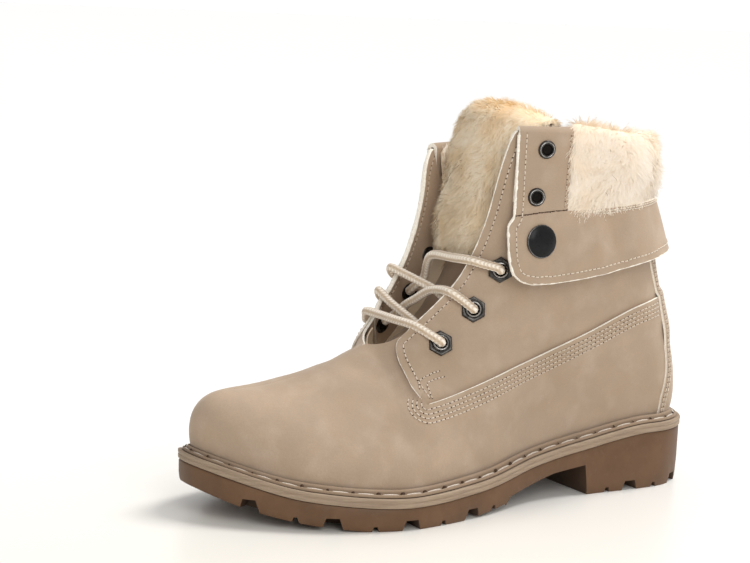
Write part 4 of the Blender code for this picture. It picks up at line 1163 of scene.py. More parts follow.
def vamp():
    """Vamp and lower panel in one piece, both sides, over the quarters at the back."""
    form = Form()
    low = np.linspace(0, 1, 40)
    high = 1 - (1 - np.linspace(0, 1, 40)) ** 1.35
    rise = np.concatenate([CORNER.t * low, CORNER.t + (1 - CORNER.t) * high[1:]])[:, None]
    along = np.linspace(0, 1, 72)
    fronts = {}
    for side in SIGN:
        fronts[side] = vamp_face(side, along * hidden_edge(side, rise), rise)
    one, other = fronts.values()
    meet(one, other, (-1, slice(None)))
    meet(one, other, (-1, slice(0, 12)), reach=MEET_ALL)
    meet(one, other, (slice(None), 0), reach=MEET_ALL)
    tip = (one[-1, 3] + one[-4, 0]) / 2
    for half in (one, other):
        half[np.linalg.norm(half - tip, axis=-1) < TOE_TIP] = tip
    back = CORNER.foot + np.linspace(0, 1, 96)[None, :] * (1 - CORNER.foot)
    for side in SIGN:
        # painted shade beside the quarter's front edge, and darker towards the sole
        shade = seam_shade(near(fronts[side], front_line(side), 8.0), 3.0)
        shade = np.where(rise < 0.06, np.maximum(shade, 0.4 * (1 - rise / 0.06)), shade)
        form.half(side, fronts[side], shade)
        t = low[:, None] * lower_edge(side, back)
        # darker towards the sole
        form.half(side, vamp_face(side, back, t), np.where(t < 0.06, 0.4 * (1 - t / 0.06), 0.0))
    panel(form, "vamp", LEATHER, "upper", weld=0.02)


def quarters():
    """Quarters, tucked under the lower panel's edge and running up to the collar."""
    u = np.linspace(0, 1, 124)
    v = 1 - (1 - np.linspace(0, 1, 96)) ** 1.25
    for side in SIGN:
        form = Form()
        base = CORNER.foot + u * (1 - CORNER.foot)
        reach = np.linalg.norm(upper_slopes(side, base, lower_edge(side, base))[1], axis=-1)
        low = lower_edge(side, base) - TUCK / reach
        t = low + v[:, None] * (1 - low)
        start = front_edge(t)
        points = quarter_face(side, start + u * (1 - start), t)
        # painted shade beside the lower panel's edge
        form.half(side, points, seam_shade(near(points, lower_line(side), 8.0), 2.0))
        panel(form, f"quarter_{side}", LEATHER)


def back_stay():
    """Strip over the back seam, one piece across both sides."""
    form = Form()
    t = np.linspace(0.012, 0.78, 90)[:, None]
    edge = stay_edge(t)
    foot = edge + np.linspace(0, 1, 16) * (1 - edge)
    halves = {side: stay_face(side, foot, t) for side in SIGN}
    meet(*halves.values(), (slice(None), -1), reach=MEET_ALL)
    for side, points in halves.items():
        form.half(side, points)
    panel(form, "back_stay", LEATHER, "back_stay", weld=0.02)


def lining():
    """Pile lining on the inside of the wall."""
    form = Form()
    rise = np.linspace(0.0, 1.0, 38)[:, None]
    for side in SIGN:
        foot = np.linspace(0, 1, 104)[None, :]
        reach = np.linalg.norm(upper_slopes(side, foot, 0 * foot + 0.97)[1], axis=-1)
        bare = ease((foot - 0.42) / 0.03) * (1 - ease((foot - 0.655) / 0.03))
        top = 0.998 - bare * (FACING_WIDTH[side] - 3.0) / reach
        t = 0.01 + (top - 0.01) * rise
        wall = FOOT_WALL + (rib(side, "wall", foot) - FOOT_WALL) * t
        points = skin(side, foot, t, -wall)
        roof = upper_point(side, foot, t)[..., 2] - 2.0
        toe = (foot < 0.05) & (t > 0.95)
        points[..., 2] = np.where(toe, np.minimum(points[..., 2], roof), points[..., 2])
        form.half(side, points)
    thing = form.make("lining", [LINING], weld=0.02)
    thicken(thing, LINING_THICKNESS, outward=True)
    place(thing, "lining")

    def weight(spots, way):
        """Strands on the inside, denser towards the collar."""
        axis = to_scene((0.0, 92.0, 0.0))
        inwards = ((spots - axis)[:, :2] * way[:, :2]).sum(1) < 0
        return np.where(inwards, np.clip((spots[:, 2] / MM - 105.0) / 60.0, 0.0, 1.0), 0.0)

    def comb(root, _):
        return np.broadcast_to((0.0, 0.0, 1.0), root.shape)

    grow("collar_pile", "lining", thing, 14000, 31, 4.6, 0.32, 0.55, comb, PILE, weight)


def throat_facings():
    """Leather strips inside the throat edges, sewn to the quarters."""
    for side in SIGN:
        form = Form()
        foot = np.linspace(0.452, 0.668, 90)[None, :]
        reach = np.linalg.norm(upper_slopes(side, foot, 0 * foot + 0.97)[1], axis=-1)
        v = np.linspace(0, 1, 24)[:, None]
        t = 1 - FACING_WIDTH[side] / reach * (1 - v)
        form.half(side, quarter_face(side, foot, t, -LEATHER - FACING_GAP))
        thing = form.make(f"throat_facing_{side}", [FACING, CUT])
        thicken(thing, FACING_THICKNESS, rim=1)
        place(thing, "nubuck")


def corner_arc(side, radius):
    """Stitch line round the quarter's lower corner and back along the lower edge."""
    corner = upper_point(side, CORNER.foot, CORNER.t)
    out = upper_normal(side, CORNER.foot, CORNER.t)
    front = front_line(side)
    lower = lower_line(side)
    up_front = unit(front[10] - front[0])
    along = unit(lower[20] - lower[0])
    ahead = -unit(along - (along @ out) * out)
    down = unit(np.cross(out, ahead)) * SIGN[side]
    if down[2] > 0:
        down = -down
    first = np.arctan2(up_front @ -down, up_front @ ahead)
    angles = np.linspace(min(first, 1.0) - 0.10, -pi / 2, 24)
    angles = angles[:, None]
    arc = corner + radius * (np.cos(angles) * ahead - np.sin(angles) * down)
    foot, t = settle(side, arc, np.full(24, CORNER.foot), np.full(24, CORNER.t))
    base = np.linspace(CORNER.foot + 0.004, 0.895, 240)
    line = upper_point(side, base, lower_edge(side, base))
    below = np.cross(upper_normal(side, base, lower_edge(side, base)), heading(line))
    below *= -np.sign(below[:, 2:3])
    foot2, t2 = settle(side, line + radius * below, base, lower_edge(side, base))
    keep = foot2 > foot[-1] + 0.002
    return np.concatenate([foot, foot2[keep]]), np.concatenate([t, t2[keep]])


def inside_line(side, foot, t, distance):
    """Line moved sideways on the surface, towards the heel and down from the throat."""
    line = upper_point(side, foot, t)
    across = distance * np.cross(upper_normal(side, foot, t), heading(line))
    centre = upper_point(side, 0.55, 0.7)
    target = min(line + across, line - across, key=lambda row: np.linalg.norm(row.mean(0) - centre))
    return settle(side, target, foot, t)


def raw_edges():
    """Pale cut edges of the panels."""
    form = Form()

    def edge(face, side, foot, t, depth, thick, width):
        out = upper_normal(side, foot, t)
        add_edge(form, face(side, foot, t) - depth * out, out, thick, width)

    both = LEATHER + FACING_THICKNESS + FACING_GAP
    for side in SIGN:
        foot = np.linspace(CORNER.foot + 0.006, 0.893, 260)
        edge(vamp_face, side, foot, lower_edge(side, foot), 0.46 * LEATHER, 0.5 * LEATHER, 0.28)
        t = np.linspace(CORNER.t, 1.0, 120)
        edge(quarter_face, side, front_edge(t), t, 0.46 * LEATHER, 0.5 * LEATHER, 0.25)
        throat = np.linspace(0.440, 0.668, 160)
        edge(quarter_face, side, throat, np.ones(160), 0.5 * both, 0.55 * both, 0.50)
    loose(form, "raw_edges", CUT)


def facing_stitches():
    """Row through the inside of each throat edge."""
    form = Form()
    for side in SIGN:
        foot, t = inside_line(side, np.linspace(0.458, 0.660, 160), np.ones(160), THROAT_ROW)
        out = upper_normal(side, foot, t)
        line = quarter_face(side, foot, t) - (LEATHER + FACING_THICKNESS + FACING_GAP + 0.02) * out
        add_stitches(form, line, -out, radius=FINE_THREAD, hole=0.4)
    loose(form, "facing_stitches", TAN_THREAD, HOLE)


def upper_stitches():
    """Rows round the quarters, along the lower panels and up the back stay."""
    form = Form()
    for side in SIGN:
        for radius in (2.5, 4.6, 6.7, 8.8):
            row_on(form, vamp_face, side, *corner_arc(side, radius))
        t = np.linspace(CORNER.t + 0.02, 1.0, 60)
        foot = np.concatenate([front_edge(t), np.linspace(0.442, 0.665, 120)])
        foot, t = inside_line(side, foot, np.concatenate([t, np.ones(120)]), THROAT_ROW)
        keep = t > lower_edge(side, foot) + 0.02
        row_on(form, quarter_face, side, foot[keep], t[keep])
        for spots in (HOOK_OUTER, HOOK_INNER):
            row_on(form, quarter_face, side, *smooth_spots(spots), pitch=2.0)
        t = np.linspace(0.03, 0.70, 120)
        for inset in (0.007, 0.014):
            row_on(form, stay_face, side, stay_edge(t) + inset, t)
    loose(form, "upper_stitches", PANEL_THREAD, HOLE)


# ---------------------------------------------------------------- sole
def outline_loop(half, inset, height):
    """Outline from toe by the outer side to the heel and back, moved in by an inset that is
    a length or a function of the foot share, at a height that is a function of d."""
    share = np.arange(half + 1) / half
    rows = []
    for side, foot in (("lateral", share), ("medial", share[-2:0:-1])):
        spot, _ = edge_at(side, foot, inset(foot) if callable(inset) else np.full(len(foot), inset))
        rows.append(np.column_stack([spot, height(spot[:, 1])]))
    return np.vstack(rows)


def ladder(start, half):
    """Cap of an outline loop, in strips from its outer to its inner side."""
    far = start + 2 * half
    strips = [(start + i, start + i + 1, far - i - 1, far - i) for i in range(1, half - 1)]
    return [(start, start + 1, far - 1), *strips, (start + half - 1, start + half, start + half + 1)]


def plate(name, half, levels, materials, shade=0.0):
    """Solid from outline loops: levels are (inset, height over d), bottom to top."""
    form = Form()
    loops = np.stack([outline_loop(half, inset, height) for inset, height in levels])
    form.grid(loops, around=True, shade=shade)
    for start in (0, form.count - 2 * half):
        form.cover(ladder(start, half))
    return form.make(name, materials, outward=True)


def notch(side, foot, width, depth):
    """Wedge that cuts a notch in the tread's edge, wider at the ground than at its top."""
    spot, out = edge_at(side, foot, 0.0)
    along = np.array([-out[1], out[0]])
    ground = tread(spot[1])
    spans = ((ground + BELOW_GROUND, width / 2 + NOTCH_FLARE),
             (ground + 1.25 * depth, NOTCH_TOP_SHARE * width / 2))
    return [(*(spot + reach * out + turn * half_width * along), z)
            for reach in (4.0, -NOTCH_REACH) for z, half_width in spans for turn in (-1, 1)], BOX_FACES


def foot_share(side, d):
    """Share of the half outline at which it passes d."""
    return float(halve(0.0, 1.0, lambda foot: edge_at(side, foot, 0.0)[0][..., 1] > d))


def block(across, along, up):
    """Box from its (low, high) pairs in x, d and z."""
    return [(x, d, z) for x in across for d in along for z in up], BOX_FACES


def cut(thing, name, shapes):
    """Cuts shapes, as (points, faces), out of a piece when its modifiers are settled."""
    form = Form()
    for points, faces in shapes:
        form.add(points, faces, 1)
    # faces of the cut take the second paint, painted shade
    cutter = form.make(name, [SOLE, SHADED_CUTS], outward=True, sharp=0)
    modifier = thing.modifiers.new(name, "BOOLEAN")
    modifier.operation = "DIFFERENCE"
    modifier.solver = "EXACT"
    modifier.object = cutter
    return cutter


def outsole():
    """Rubber sole: waist, edge notches and cross grooves cut out, and edges worn round."""
    levels = (
        (1.3, tread),
        (0.9, lambda d: 0.9 * tread(d) + 0.1 * sole_top(d)),
        (0.5, lambda d: 0.6 * tread(d) + 0.4 * sole_top(d)),
        (0.4, lambda d: sole_top(d) - 0.7),
        (0.8, sole_top),
    )
    thing = plate("outsole", 132, levels, [SOLE, SHADED_CUTS])
    profile = (Level(BREAST - 1.5, BELOW_GROUND), *SHANK_LINE, Level(SHANK_CUT_END + 1.0, BELOW_GROUND))
    count = len(profile)
    shank = [(x, row.d, row.z) for x in (-80.0, 80.0) for row in profile]
    faces = [(i, (i + 1) % count, count + (i + 1) % count, count + i) for i in range(count)]
    faces += [range(count), range(count, 2 * count)]
    notches = [notch(side, foot_share(side, d), row.width, row.depth)
               for side in SIGN for row in NOTCHES for d in row.stations]
    grooves = [block((-row.half_length, row.half_length),
                     (row.d - row.half_width, row.d + row.half_width),
                     (BELOW_GROUND, tread(row.d) + row.depth)) for row in CHANNELS]
    cutters = [cut(thing, name, shapes) for name, shapes in (
        ("shank_cutter", [(shank, faces)]), ("notch_cutter", notches), ("channel_cutter", grooves))]
    bevel = thing.modifiers.new("worn_edges", "BEVEL")
    bevel.width = 0.45 * MM
    bevel.segments = 2
    bevel.limit_method = "ANGLE"
    bevel.angle_limit = radians(35)
    settle_modifiers(thing, 32)
    for cutter in cutters:
        bpy.data.objects.remove(cutter, do_unlink=True)
    place(thing, "sole_rubber", "outsole")


def midsole():
    """Rubber band between outsole and upper, its edge gently ribbed."""
    def at(height):
        return lambda d: sole_top(d) + CLEARANCE + height

    profile = ((1.6, 0.0), (0.3, 0.0), (0.0, 0.35), (-0.05, 1.3), (0.02, 1.9), (0.25, 2.2),
               (0.22, 2.45), (-0.05, 2.7), (-0.15, 3.3), (-0.1, 4.0), (0.15, 4.4), (0.6, 4.6),
               (1.3, 4.5), (2.2, 4.2))
    thing = plate("midsole", 150, [(inset, at(height)) for inset, height in profile], [MIDSOLE])
    place(thing, "midsole_rubber", "midsole")


WELT_PROFILE = listed(Climb,  # share of the way from outer to inner edge, height over the midsole
    (0.0, 0.2), (0.0, 0.9), (0.05, 1.35), (0.13, 1.5), (0.21, 1.3), (0.30, 0.7), (0.42, 0.6),
    (0.52, 1.0), (0.58, 1.9), (0.66, 2.8), (0.76, 3.2), (0.88, 3.1), (0.97, 2.5), (1.03, 1.4),
    (1.03, 0.2))
WELT_PITCH = 11.8
WELT_ROW = 0.37


def welt_inset(share):
    """Inset at a share of the way over the welt, from its outer to its inner edge."""
    def inset(foot):
        inner = feather_inset(foot) - WELT_GAP
        return WELT_OUTER_INSET + share * (inner - WELT_OUTER_INSET)
    return inset


def welt():
    """Stitched welt, with its thread in a groove and needle holes between the stitches."""
    half = 150
    form = Form()
    loops = [outline_loop(half, welt_inset(row.share), lambda d, rise=row.rise: midsole_top(d) + rise)
             for row in WELT_PROFILE]
    # painted shade in the groove and at the inner edge of the welt
    groove = [1.0 if 0.24 < row.share < 0.62 else 0.4 if row.share > 0.95 else 0.0
              for row in WELT_PROFILE]
    form.grid(np.stack(loops), around=True, over=True, shade=np.repeat(groove, 2 * half))
    place(form.make("welt", [WELT], outward=True), "nubuck", "welt")
    line = outline_loop(600, welt_inset(WELT_ROW), lambda d: midsole_top(d) + 0.95)
    line = np.vstack([line, line[:1]])
    up = np.broadcast_to((0.0, 0.0, 1.0), line.shape)
    form = Form()
    add_stitches(form, line, up, pitch=WELT_PITCH, radius=0.36, share=0.80, hole=0, loft=0.8)
    length, stops = even_steps(line, WELT_PITCH)
    spots = walk(line, stops[:-1], length)
    away = unit((spots - line.mean(0)) * (1.0, 1.0, 0.0))
    add_holes(form, spots + (0.0, 0.0, 0.6), unit(away + (0.0, 0.0, 0.8)), 1.0)
    loose(form, "welt_stitches", WELT_THREAD, HOLE)


def insole():
    """Padded insole."""
    def at(height):
        return lambda d: midsole_top(d) + CLEARANCE + 0.1 + height

    def inset(extra):
        return lambda foot: feather_inset(foot) + INSOLE_GAP + extra

    profile = ((0.4, 0.0), (0.0, 0.5), (0.0, 2.2), (0.5, 2.9), (1.4, 3.0))
    levels = [(inset(extra), at(height)) for extra, height in profile]
    thing = plate("insole", 90, levels, [LINING], 0.6)
    place(thing, "lining", "insole")


# ---------------------------------------------------------------- cuff
TAB_COLUMNS = 26
BACK_COLUMNS = 130
ROLL_RADIUS = 1.0
CUFF_ROW = 3.4
Pleat = namedtuple("Pleat", "share depth width")
BAND_FOLDS = listed(Pleat,  # soft upright folds of the band, towards the back
    (0.34, -0.45, 0.030), (0.40, 0.5, 0.025), (0.47, -0.6, 0.030), (0.56, 0.5, 0.035),
    (0.70, -0.6, 0.04), (0.84, 0.5, 0.05))


def cuff_rows(side, levels):
    """Shares of the way back for each level: the tab's columns, then the band's."""
    tab = tab_share(side, levels, TAB_END)[:, None]
    first = tab * np.linspace(0, 1, TAB_COLUMNS + 1)[None, :]
    rest = tab + (1 - tab) * np.linspace(0, 1, BACK_COLUMNS + 1)[None, 1:]
    return np.hstack([first, rest])


def band_swell(share, z):
    """How far the band's folds push it out, most at its lower edge."""
    swell = sum(row.depth * np.exp(-(((share - row.share) / row.width) ** 2)) for row in BAND_FOLDS)
    return swell * ease((CUFF_SEAM - z) / 8.0) * (0.25 + 0.75 * ease((z - CUFF_LOW) / 18.0))


def cuff_inner(side, share, z):
    """Inside of the cuff's leather with the folds of its band."""
    share, z = matched(share, z)
    behind = cuff_point(side, np.minimum(share + 0.01, 1), z)
    ahead = cuff_point(side, np.maximum(share - 0.01, 0), z)
    out = level_out(side, behind - ahead)
    return cuff_point(side, share, z) + band_swell(share, z)[..., None] * out


def face_normals(side, share, z):
    """Outward normals of the cuff's face."""
    share, z = matched(share, z)
    behind, ahead = np.minimum(share + 0.01, 1), np.maximum(share - 0.01, 0)
    up = cuff_inner(side, share, z + 1.2) - cuff_inner(side, share, z - 1.2)
    return unit(np.cross(up, cuff_inner(side, behind, z) - cuff_inner(side, ahead, z)) * SIGN[side])


def cuff_face(side, share, z, extra=0.0):
    """Outside of the cuff's leather, and further out by extra."""
    return cuff_inner(side, share, z) + (CUFF_THICKNESS + extra) * face_normals(side, share, z)


def cuff_leather():
    """Band round the shaft, tabs at its front ends, rolled over the top into the shaft."""
    form = Form()
    band = np.concatenate([np.linspace(CUFF_LOW, 118, 12), np.linspace(119.5, CUFF_SEAM, 18)])
    tab = np.linspace(CUFF_SEAM, TAB_TOP, 30)
    up = np.array((0, 0, 1.0))
    halves = {side: cuff_inner(side, cuff_rows(side, band), band[:, None]) for side in SIGN}
    meet(*halves.values(), (slice(None), -1), reach=MEET_ALL)
    for side, half in halves.items():
        form.half(side, half)
        share = cuff_rows(side, tab)[:, : TAB_COLUMNS + 1]
        points = cuff_inner(side, share, tab[:, None])
        foot = np.linspace(0.66, 0.74, TAB_COLUMNS + 1)
        out = shaft_out(side, foot, np.full(foot.shape, 160.0))
        angle = np.linspace(0, pi, 11)[1:, None, None]
        roll = points[-1] + ROLL_RADIUS * ((np.cos(angle) - 1) * out + np.sin(angle) * up)
        inner = roll[-1] - np.linspace(3, 33, 11)[:, None, None] * up
        form.half(side, np.concatenate([points, roll, inner]))
    panel(form, "cuff_leather", CUFF_THICKNESS, "cuff_leather", weld=0.03, outward=True)


def cuff_rim():
    """Shares and levels down the tab's front edge and along the band's lower edge."""
    down = np.linspace(TAB_TOP, CUFF_LOW, 150)
    back = np.linspace(0, 1, 320)[1:]
    return (np.concatenate([0 * down, back]), np.concatenate([down, np.full(len(back), CUFF_LOW)]))


def cuff_inset(side, distance):
    """Line on the cuff's face a distance inside its front and lower edges, with normals."""
    share, z = cuff_rim()
    line, out = cuff_face(side, share, z), face_normals(side, share, z)
    across = unit(np.cross(out, heading(line)))
    middle = cuff_face(side, 0.4, CUFF_SEAM)
    if ((middle - line) * across).sum(1).mean() < 0:
        across = -across
    target = line + distance * across
    shares, levels = np.meshgrid(np.linspace(0, 1, 700), np.linspace(CUFF_LOW, TAB_TOP, 160))
    tree = tree_of(cuff_face(side, shares, levels).reshape(-1, 3))
    found = np.array([tree.find(point)[1] for point in target])
    near_share, near_z = shares.ravel()[found], levels.ravel()[found]
    target = cuff_face(side, near_share, near_z)
    smooth = np.vstack([target[:1], (target[:-2] + 2 * target[1:-1] + target[2:]) / 4, target[-1:]])
    return smooth, face_normals(side, near_share, near_z)


def cuff_stitches():
    """Rows along the cuff's front and lower edges, and round the seams of its tabs and band."""
    form = Form()

    def row(share, z, **settings):
        share, z = matched(share, z)
        line, out = cuff_face(side, share, z), face_normals(side, share, z)
        add_stitches(form, line, out, radius=FINE_THREAD, **settings)

    for side in SIGN:
        line, out = cuff_inset(side, CUFF_ROW)
        add_stitches(form, line[:-3], out[:-3], paint=2, radius=FINE_THREAD, pitch=2.5, hole=0.26)
        tab = tab_share(side, [CUFF_SEAM], TAB_END)[0]
        row(np.linspace(0.004, tab - 0.004, 60), CUFF_SEAM + 0.4, paint=1, pitch=2.9)
        z = np.linspace(CUFF_SEAM + 2, TAB_TOP - 1.0, 60)
        row(tab_share(side, z, TAB_END) - 0.014, z, hole=0.32)
        for drop in (1.3, 2.9):
            row(np.linspace(tab + 0.14, 0.99, 260), CUFF_SEAM - drop, paint=2, pitch=2.0, hole=0.28)
    loose(form, "cuff_stitches", TAN_THREAD, HOLE, CREAM_THREAD)


def cuff_edges():
    """Raw edges of the cuff, fullest down the front of its tabs."""
    form = Form()
    half = CUFF_THICKNESS / 2
    for side in SIGN:
        share, z = cuff_rim()
        out = face_normals(side, share, z)
        line = cuff_inner(side, share, z) + half * out
        add_edge(form, line[:-1], out[:-1], 1.03 * half, 0.6)
        add_edge(form, line[2:140], out[2:140], 1.05 * half, 0.95)
    loose(form, "cuff_edges", CUT)


# ---------------------------------------------------------------- fleece
BASE_INSET = 2.9
FLEECE_CORNER = 6.0
FLEECE_RUN = 150.0
COLLAR_BAND = 2.0
# deeper colour at the strands' roots: partly the wool's tone, partly painted shade among strands that cast
# no shadows
STRAND_SHADES = np.array((0.0, 0.0, 0.62, 0.62, 0.9, 0.9, 1.0))
STRAND_SWIRL = 0.8
STRAND_BODY = 0.75


def fleece_sections(side, share):
    """Sections of the turned-out fleece at shares of the way from the tab to the back."""
    start = TAB_END - 1.0
    tab = tab_share(side, [CUFF_SEAM], start)[0]
    top_front = halve(0.60, 1.0, lambda foot: upper_point(side, foot, 1.0)[..., 1] > start)
    foot = top_front + share * (1.0 - top_front)
    collar = upper_point(side, foot, np.ones_like(foot))
    collar_out = shaft_out(side, foot, collar[:, 2] - 4.0)
    seam = cuff_height(side, tab + share * (1 - tab), CUFF_SEAM) - through(
        share, (0.0, 0.14, 0.25, 0.4, 0.6, 1.0), (4.0, 5.8, 4.2, 1.5, -0.5, -0.5))
    crown = collar[:, 2] + FLEECE_RISE + share * (FLEECE_BACK_RISE - FLEECE_RISE) - BASE_INSET
    corner = np.clip((FLEECE_CORNER - share * FLEECE_RUN) / FLEECE_CORNER, 0, 1)
    rounding = 1 - np.sqrt(1 - corner**2)
    seam = seam + FLEECE_CORNER * rounding
    crown = crown - 3.0 * rounding
    swell = 0.35 + 0.65 * np.sqrt(1 - corner**2)

    def along(reach, z):
        """One line of the sections, at reaches off the shaft or the collar and at heights."""
        front = ring_foot(side, start + 0 * z, z, reach)
        low = ring_point(side, front + share * (1.0 - front), z, reach)
        high = collar + reach[:, None] * collar_out
        spot = np.where((z > collar[:, 2] - COLLAR_BAND)[:, None], high, low)
        spot[:, 2] = z
        return spot

    rows = []
    for row in FLEECE_SECTION:
        reach = np.full(share.shape, row.off if row.off < 3 else 2.0 + (row.off - 2.0 - BASE_INSET))
        reach = np.where(reach > 2.0, 2.0 + (reach - 2.0) * swell, reach)
        rows.append(along(reach, seam + row.rise * (crown - seam)))
    ledge = collar[:, 2] + 2 * CLEARANCE
    rows += [along(np.full(share.shape, off), z) for off, z in ((-4.4, ledge), (1.7, ledge), (1.9, seam))]
    return np.stack(rows, 1)


def scattered(rng, mesh, count, weight):
    """Random spots on the faces of a mesh that have its first paint, and the normals there."""
    mesh.calc_loop_triangles()
    corners = np.array([vertex.co for vertex in mesh.vertices])
    normals = np.array([vertex.normal for vertex in mesh.vertices])
    tris = np.array([tri.vertices for tri in mesh.loop_triangles if tri.material_index == 0])
    a, b, c = (corners[tris[:, k]] for k in range(3))
    across = np.cross(b - a, c - a)
    area = np.linalg.norm(across, axis=1)
    if weight:
        area = area * weight((a + b + c) / 3, unit(across))
    pick = rng.choice(len(tris), count, p=area / area.sum())
    u, v = rng.random(count), rng.random(count)
    over = u + v > 1
    u[over], v[over] = 1 - u[over], 1 - v[over]
    shares = (1 - u - v, u, v)
    spots = sum(share[:, None] * corner[pick] for share, corner in zip(shares, (a, b, c)))
    out = sum(share[:, None] * normals[tris[pick, k]] for k, share in enumerate(shares))
    return spots, unit(out)


def clumped(rng, root, tip):
    """Tips drawn towards the middle of the tips round the nearest of some heads."""
    count = len(root)
    heads = root[rng.choice(count, max(int(count * 0.02), 8), replace=False)]
    tree = tree_of(heads)
    nearest = np.array([tree.find(point)[1] for point in root])
    number = np.bincount(nearest, minlength=len(heads)).clip(1)
    centre = np.stack([np.bincount(nearest, tip[:, k], minlength=len(heads)) / number for k in range(3)], 1)
    pull = (0.45 * rng.random(count) + 0.12)[:, None]
    return tip + pull * (centre[nearest] - tip)


def grow(name, slot, base, count, seed, length, thick, lift, comb, material, weight=None):
    """Strands over a base: each is a thin tapered ribbon, three rungs and a tip, that leaves
    along the normal and bends over in the combed direction."""
    rng = np.random.default_rng(seed)
    root, out = scattered(rng, base.data, count, weight)
    lie = comb(root, out)
    lie = unit(lie - (lie * out).sum(1)[:, None] * out)
    turn = STRAND_SWIRL * np.array([noise.noise(Vector(spot) * 55.0) for spot in root]) * 2.2
    turn += 0.35 * rng.standard_normal(count)
    lie = np.cos(turn)[:, None] * lie + np.sin(turn)[:, None] * np.cross(out, lie)
    rise = lift * (1 + 0.35 * rng.standard_normal(count)).clip(0.3, 1.9)
    uneven = np.array([noise.noise(Vector(spot) * 120.0 + Vector((5, 5, 5))) for spot in root])
    reach = length * MM * (0.72 + 0.4 * rng.random(count)) * (1 + 0.35 * uneven)
    over = np.sqrt(np.clip(1 - rise**2, 0.1, 1))
    tip = root + reach[:, None] * (out * rise[:, None] + lie * over[:, None])
    tip = clumped(rng, root, tip)
    middle = root + (tip - root) * 0.5 + out * (reach * STRAND_BODY * 0.22)[:, None]
    along = unit(tip - root)
    flat = np.cross(along, out) + 0.22 * rng.standard_normal((count, 3))
    flat = unit(flat - (flat * along).sum(1)[:, None] * along)
    flat *= np.sign((np.cross(flat, along) * out).sum(1))[:, None]
    half = thick * MM / 2 * (0.7 + 0.6 * rng.random(count))[:, None]
    tone = (0.82 + 0.26 * rng.random(count))[:, None]
    rungs = []
    for share, wide in ((0.0, 0.9), (0.42, 1.0), (0.78, 0.7)):
        at = (1 - share) ** 2 * root + 2 * share * (1 - share) * middle + share * share * tip
        rungs += [at - half * wide * flat, at + half * wide * flat]
    points = np.stack([*rungs, tip], 1).reshape(-1, 3)
    start = 7 * np.arange(count)[:, None]
    faces = [face for corners in ((0, 1, 3, 2), (2, 3, 5, 4), (4, 5, 6))
             for face in (start + corners).tolist()]
    mesh = new_mesh(name, points, faces, (STRAND_SHADES * tone).ravel())
    thing = finished(name, mesh, [material], 0)
    soft = unit(out + 0.15 * lie + 0.10 * rng.standard_normal((count, 3)))
    mesh.normals_split_custom_set_from_vertices(np.repeat(soft, 7, axis=0).tolist())
    thing.visible_shadow = False
    place(thing, slot)


def comb_down(root, out):
    """Down the shaft, and outwards over the crown."""
    away = (root - to_scene((0.0, 80.0, 0.0))) * (1.0, 1.0, 0.0)
    return (0.0, 0.0, -1.0) + 0.5 * unit(away) * (out[:, 2:3] > 0.3)


def cuff_fleece():
    """Turned-out fleece from one tab round the back to the other, with pile where it shows."""
    share = np.linspace(0, 1, 64)
    both = np.concatenate([fleece_sections("lateral", share), fleece_sections("medial", share)[-2::-1]])
    form = Form()
    form.tube(both, shade=0.7)
    covered = len(FLEECE_SECTION)
    paints = [0 if k <= covered else 1 for k in range(both.shape[1])]
    form.paints[:-2] = paints * (len(both) - 1)
    base = form.make("cuff_fleece", [PILE, PILE], outward=True, sharp=0)
    smooth = base.modifiers.new("round", "SUBSURF")
    smooth.levels = smooth.render_levels = 1
    settle_modifiers(base, 0)
    place(base, "fleece", "cuff_fleece")
    for number, seed in ((1, 11), (2, 12)):
        grow(f"cuff_pile_{number}", "fleece", base, 24000, seed, 6.8, 0.26, 0.50, comb_down, PILE)


# ---------------------------------------------------------------- tongue
TONGUE_ROWS = 110
TONGUE_COLUMNS = 29
TONGUE_BASE = 3.4


def tongue_face(share, across, depth):
    """Point of the tongue: share of the way along its fold path, across it from -1 to 1, and
    depth towards its leather side from its middle."""
    path = np.array(TONGUE_PATH, float)
    run = running(path[:, :2])
    at = np.asarray(share) * run[-1]

    def read(column, shift=0.0):
        return through(at + shift, run, path[:, column])

    run_d, run_z = (read(column, 0.5) - read(column, -0.5) for column in (0, 1))
    size = np.hypot(run_d, run_z)
    way_d, way_z = run_d / size, run_z / size
    d, z, half, drop_d, drop_z = (read(column) for column in range(5))
    spot = (TONGUE_CENTRE + across * half, d - drop_d * across**2 + depth * way_z,
            z - drop_z * across**2 - depth * way_d)
    return np.stack(np.broadcast_arrays(*spot), -1)


def tongue():
    """Padded tongue: leather on one side, and on the other pile, which its fold turns out."""
    share = np.linspace(0, 1, TONGUE_ROWS)[:, None]
    across = np.linspace(-1, 1, TONGUE_COLUMNS)[None, :]
    thick = 0.5 * TONGUE_BASE * (1 - 0.45 * across**4)
    front = tongue_face(share, across, thick)
    back = tongue_face(share, across, -thick)[:, ::-1]
    form = Form()
    # the shade lays painted shade over the leather face, and on the pile side keeps the base near the tips'
    # colour
    form.tube(np.concatenate([front, back], 1), shade=0.65)
    paints = [1 if k < TONGUE_COLUMNS - 1 else 0 for k in range(2 * TONGUE_COLUMNS)]
    form.paints = paints * (TONGUE_ROWS - 1) + [1, 0]
    base = form.make("tongue", [TONGUE_PILE, FACING], outward=True)
    place(base, "fleece", "tongue")

    def weight(spots, _):
        """More strands where the fold shows its pile."""
        d, z = HEEL_SEAT - spots[:, 1] / MM, spots[:, 2] / MM
        return np.where((z > 108) & (d < 150), 1.0, 0.02)

    def comb(root, out):
        """Down, and forwards over the top of the fold."""
        return (0.0, 0.0, -1.0) + (out[:, 2:3] > 0.3) * (0.0, -0.8, 0.0)

    for number, seed in ((1, 23), (2, 24)):
        grow(f"tongue_pile_{number}", "fleece", base, 16500, seed, 5.6, 0.25, 0.48, comb, TONGUE_PILE,
             weight)


# ---------------------------------------------------------------- hardware
def facing(point, normal):
    """Matrix that stands a piece's +Z on the normal at a point given in (x, d, z)."""
    out = Vector(normal * (1.0, -1.0, 1.0))
    return Matrix.Translation(to_scene(point)) @ out.to_track_quat("Z", "Y").to_matrix().to_4x4()


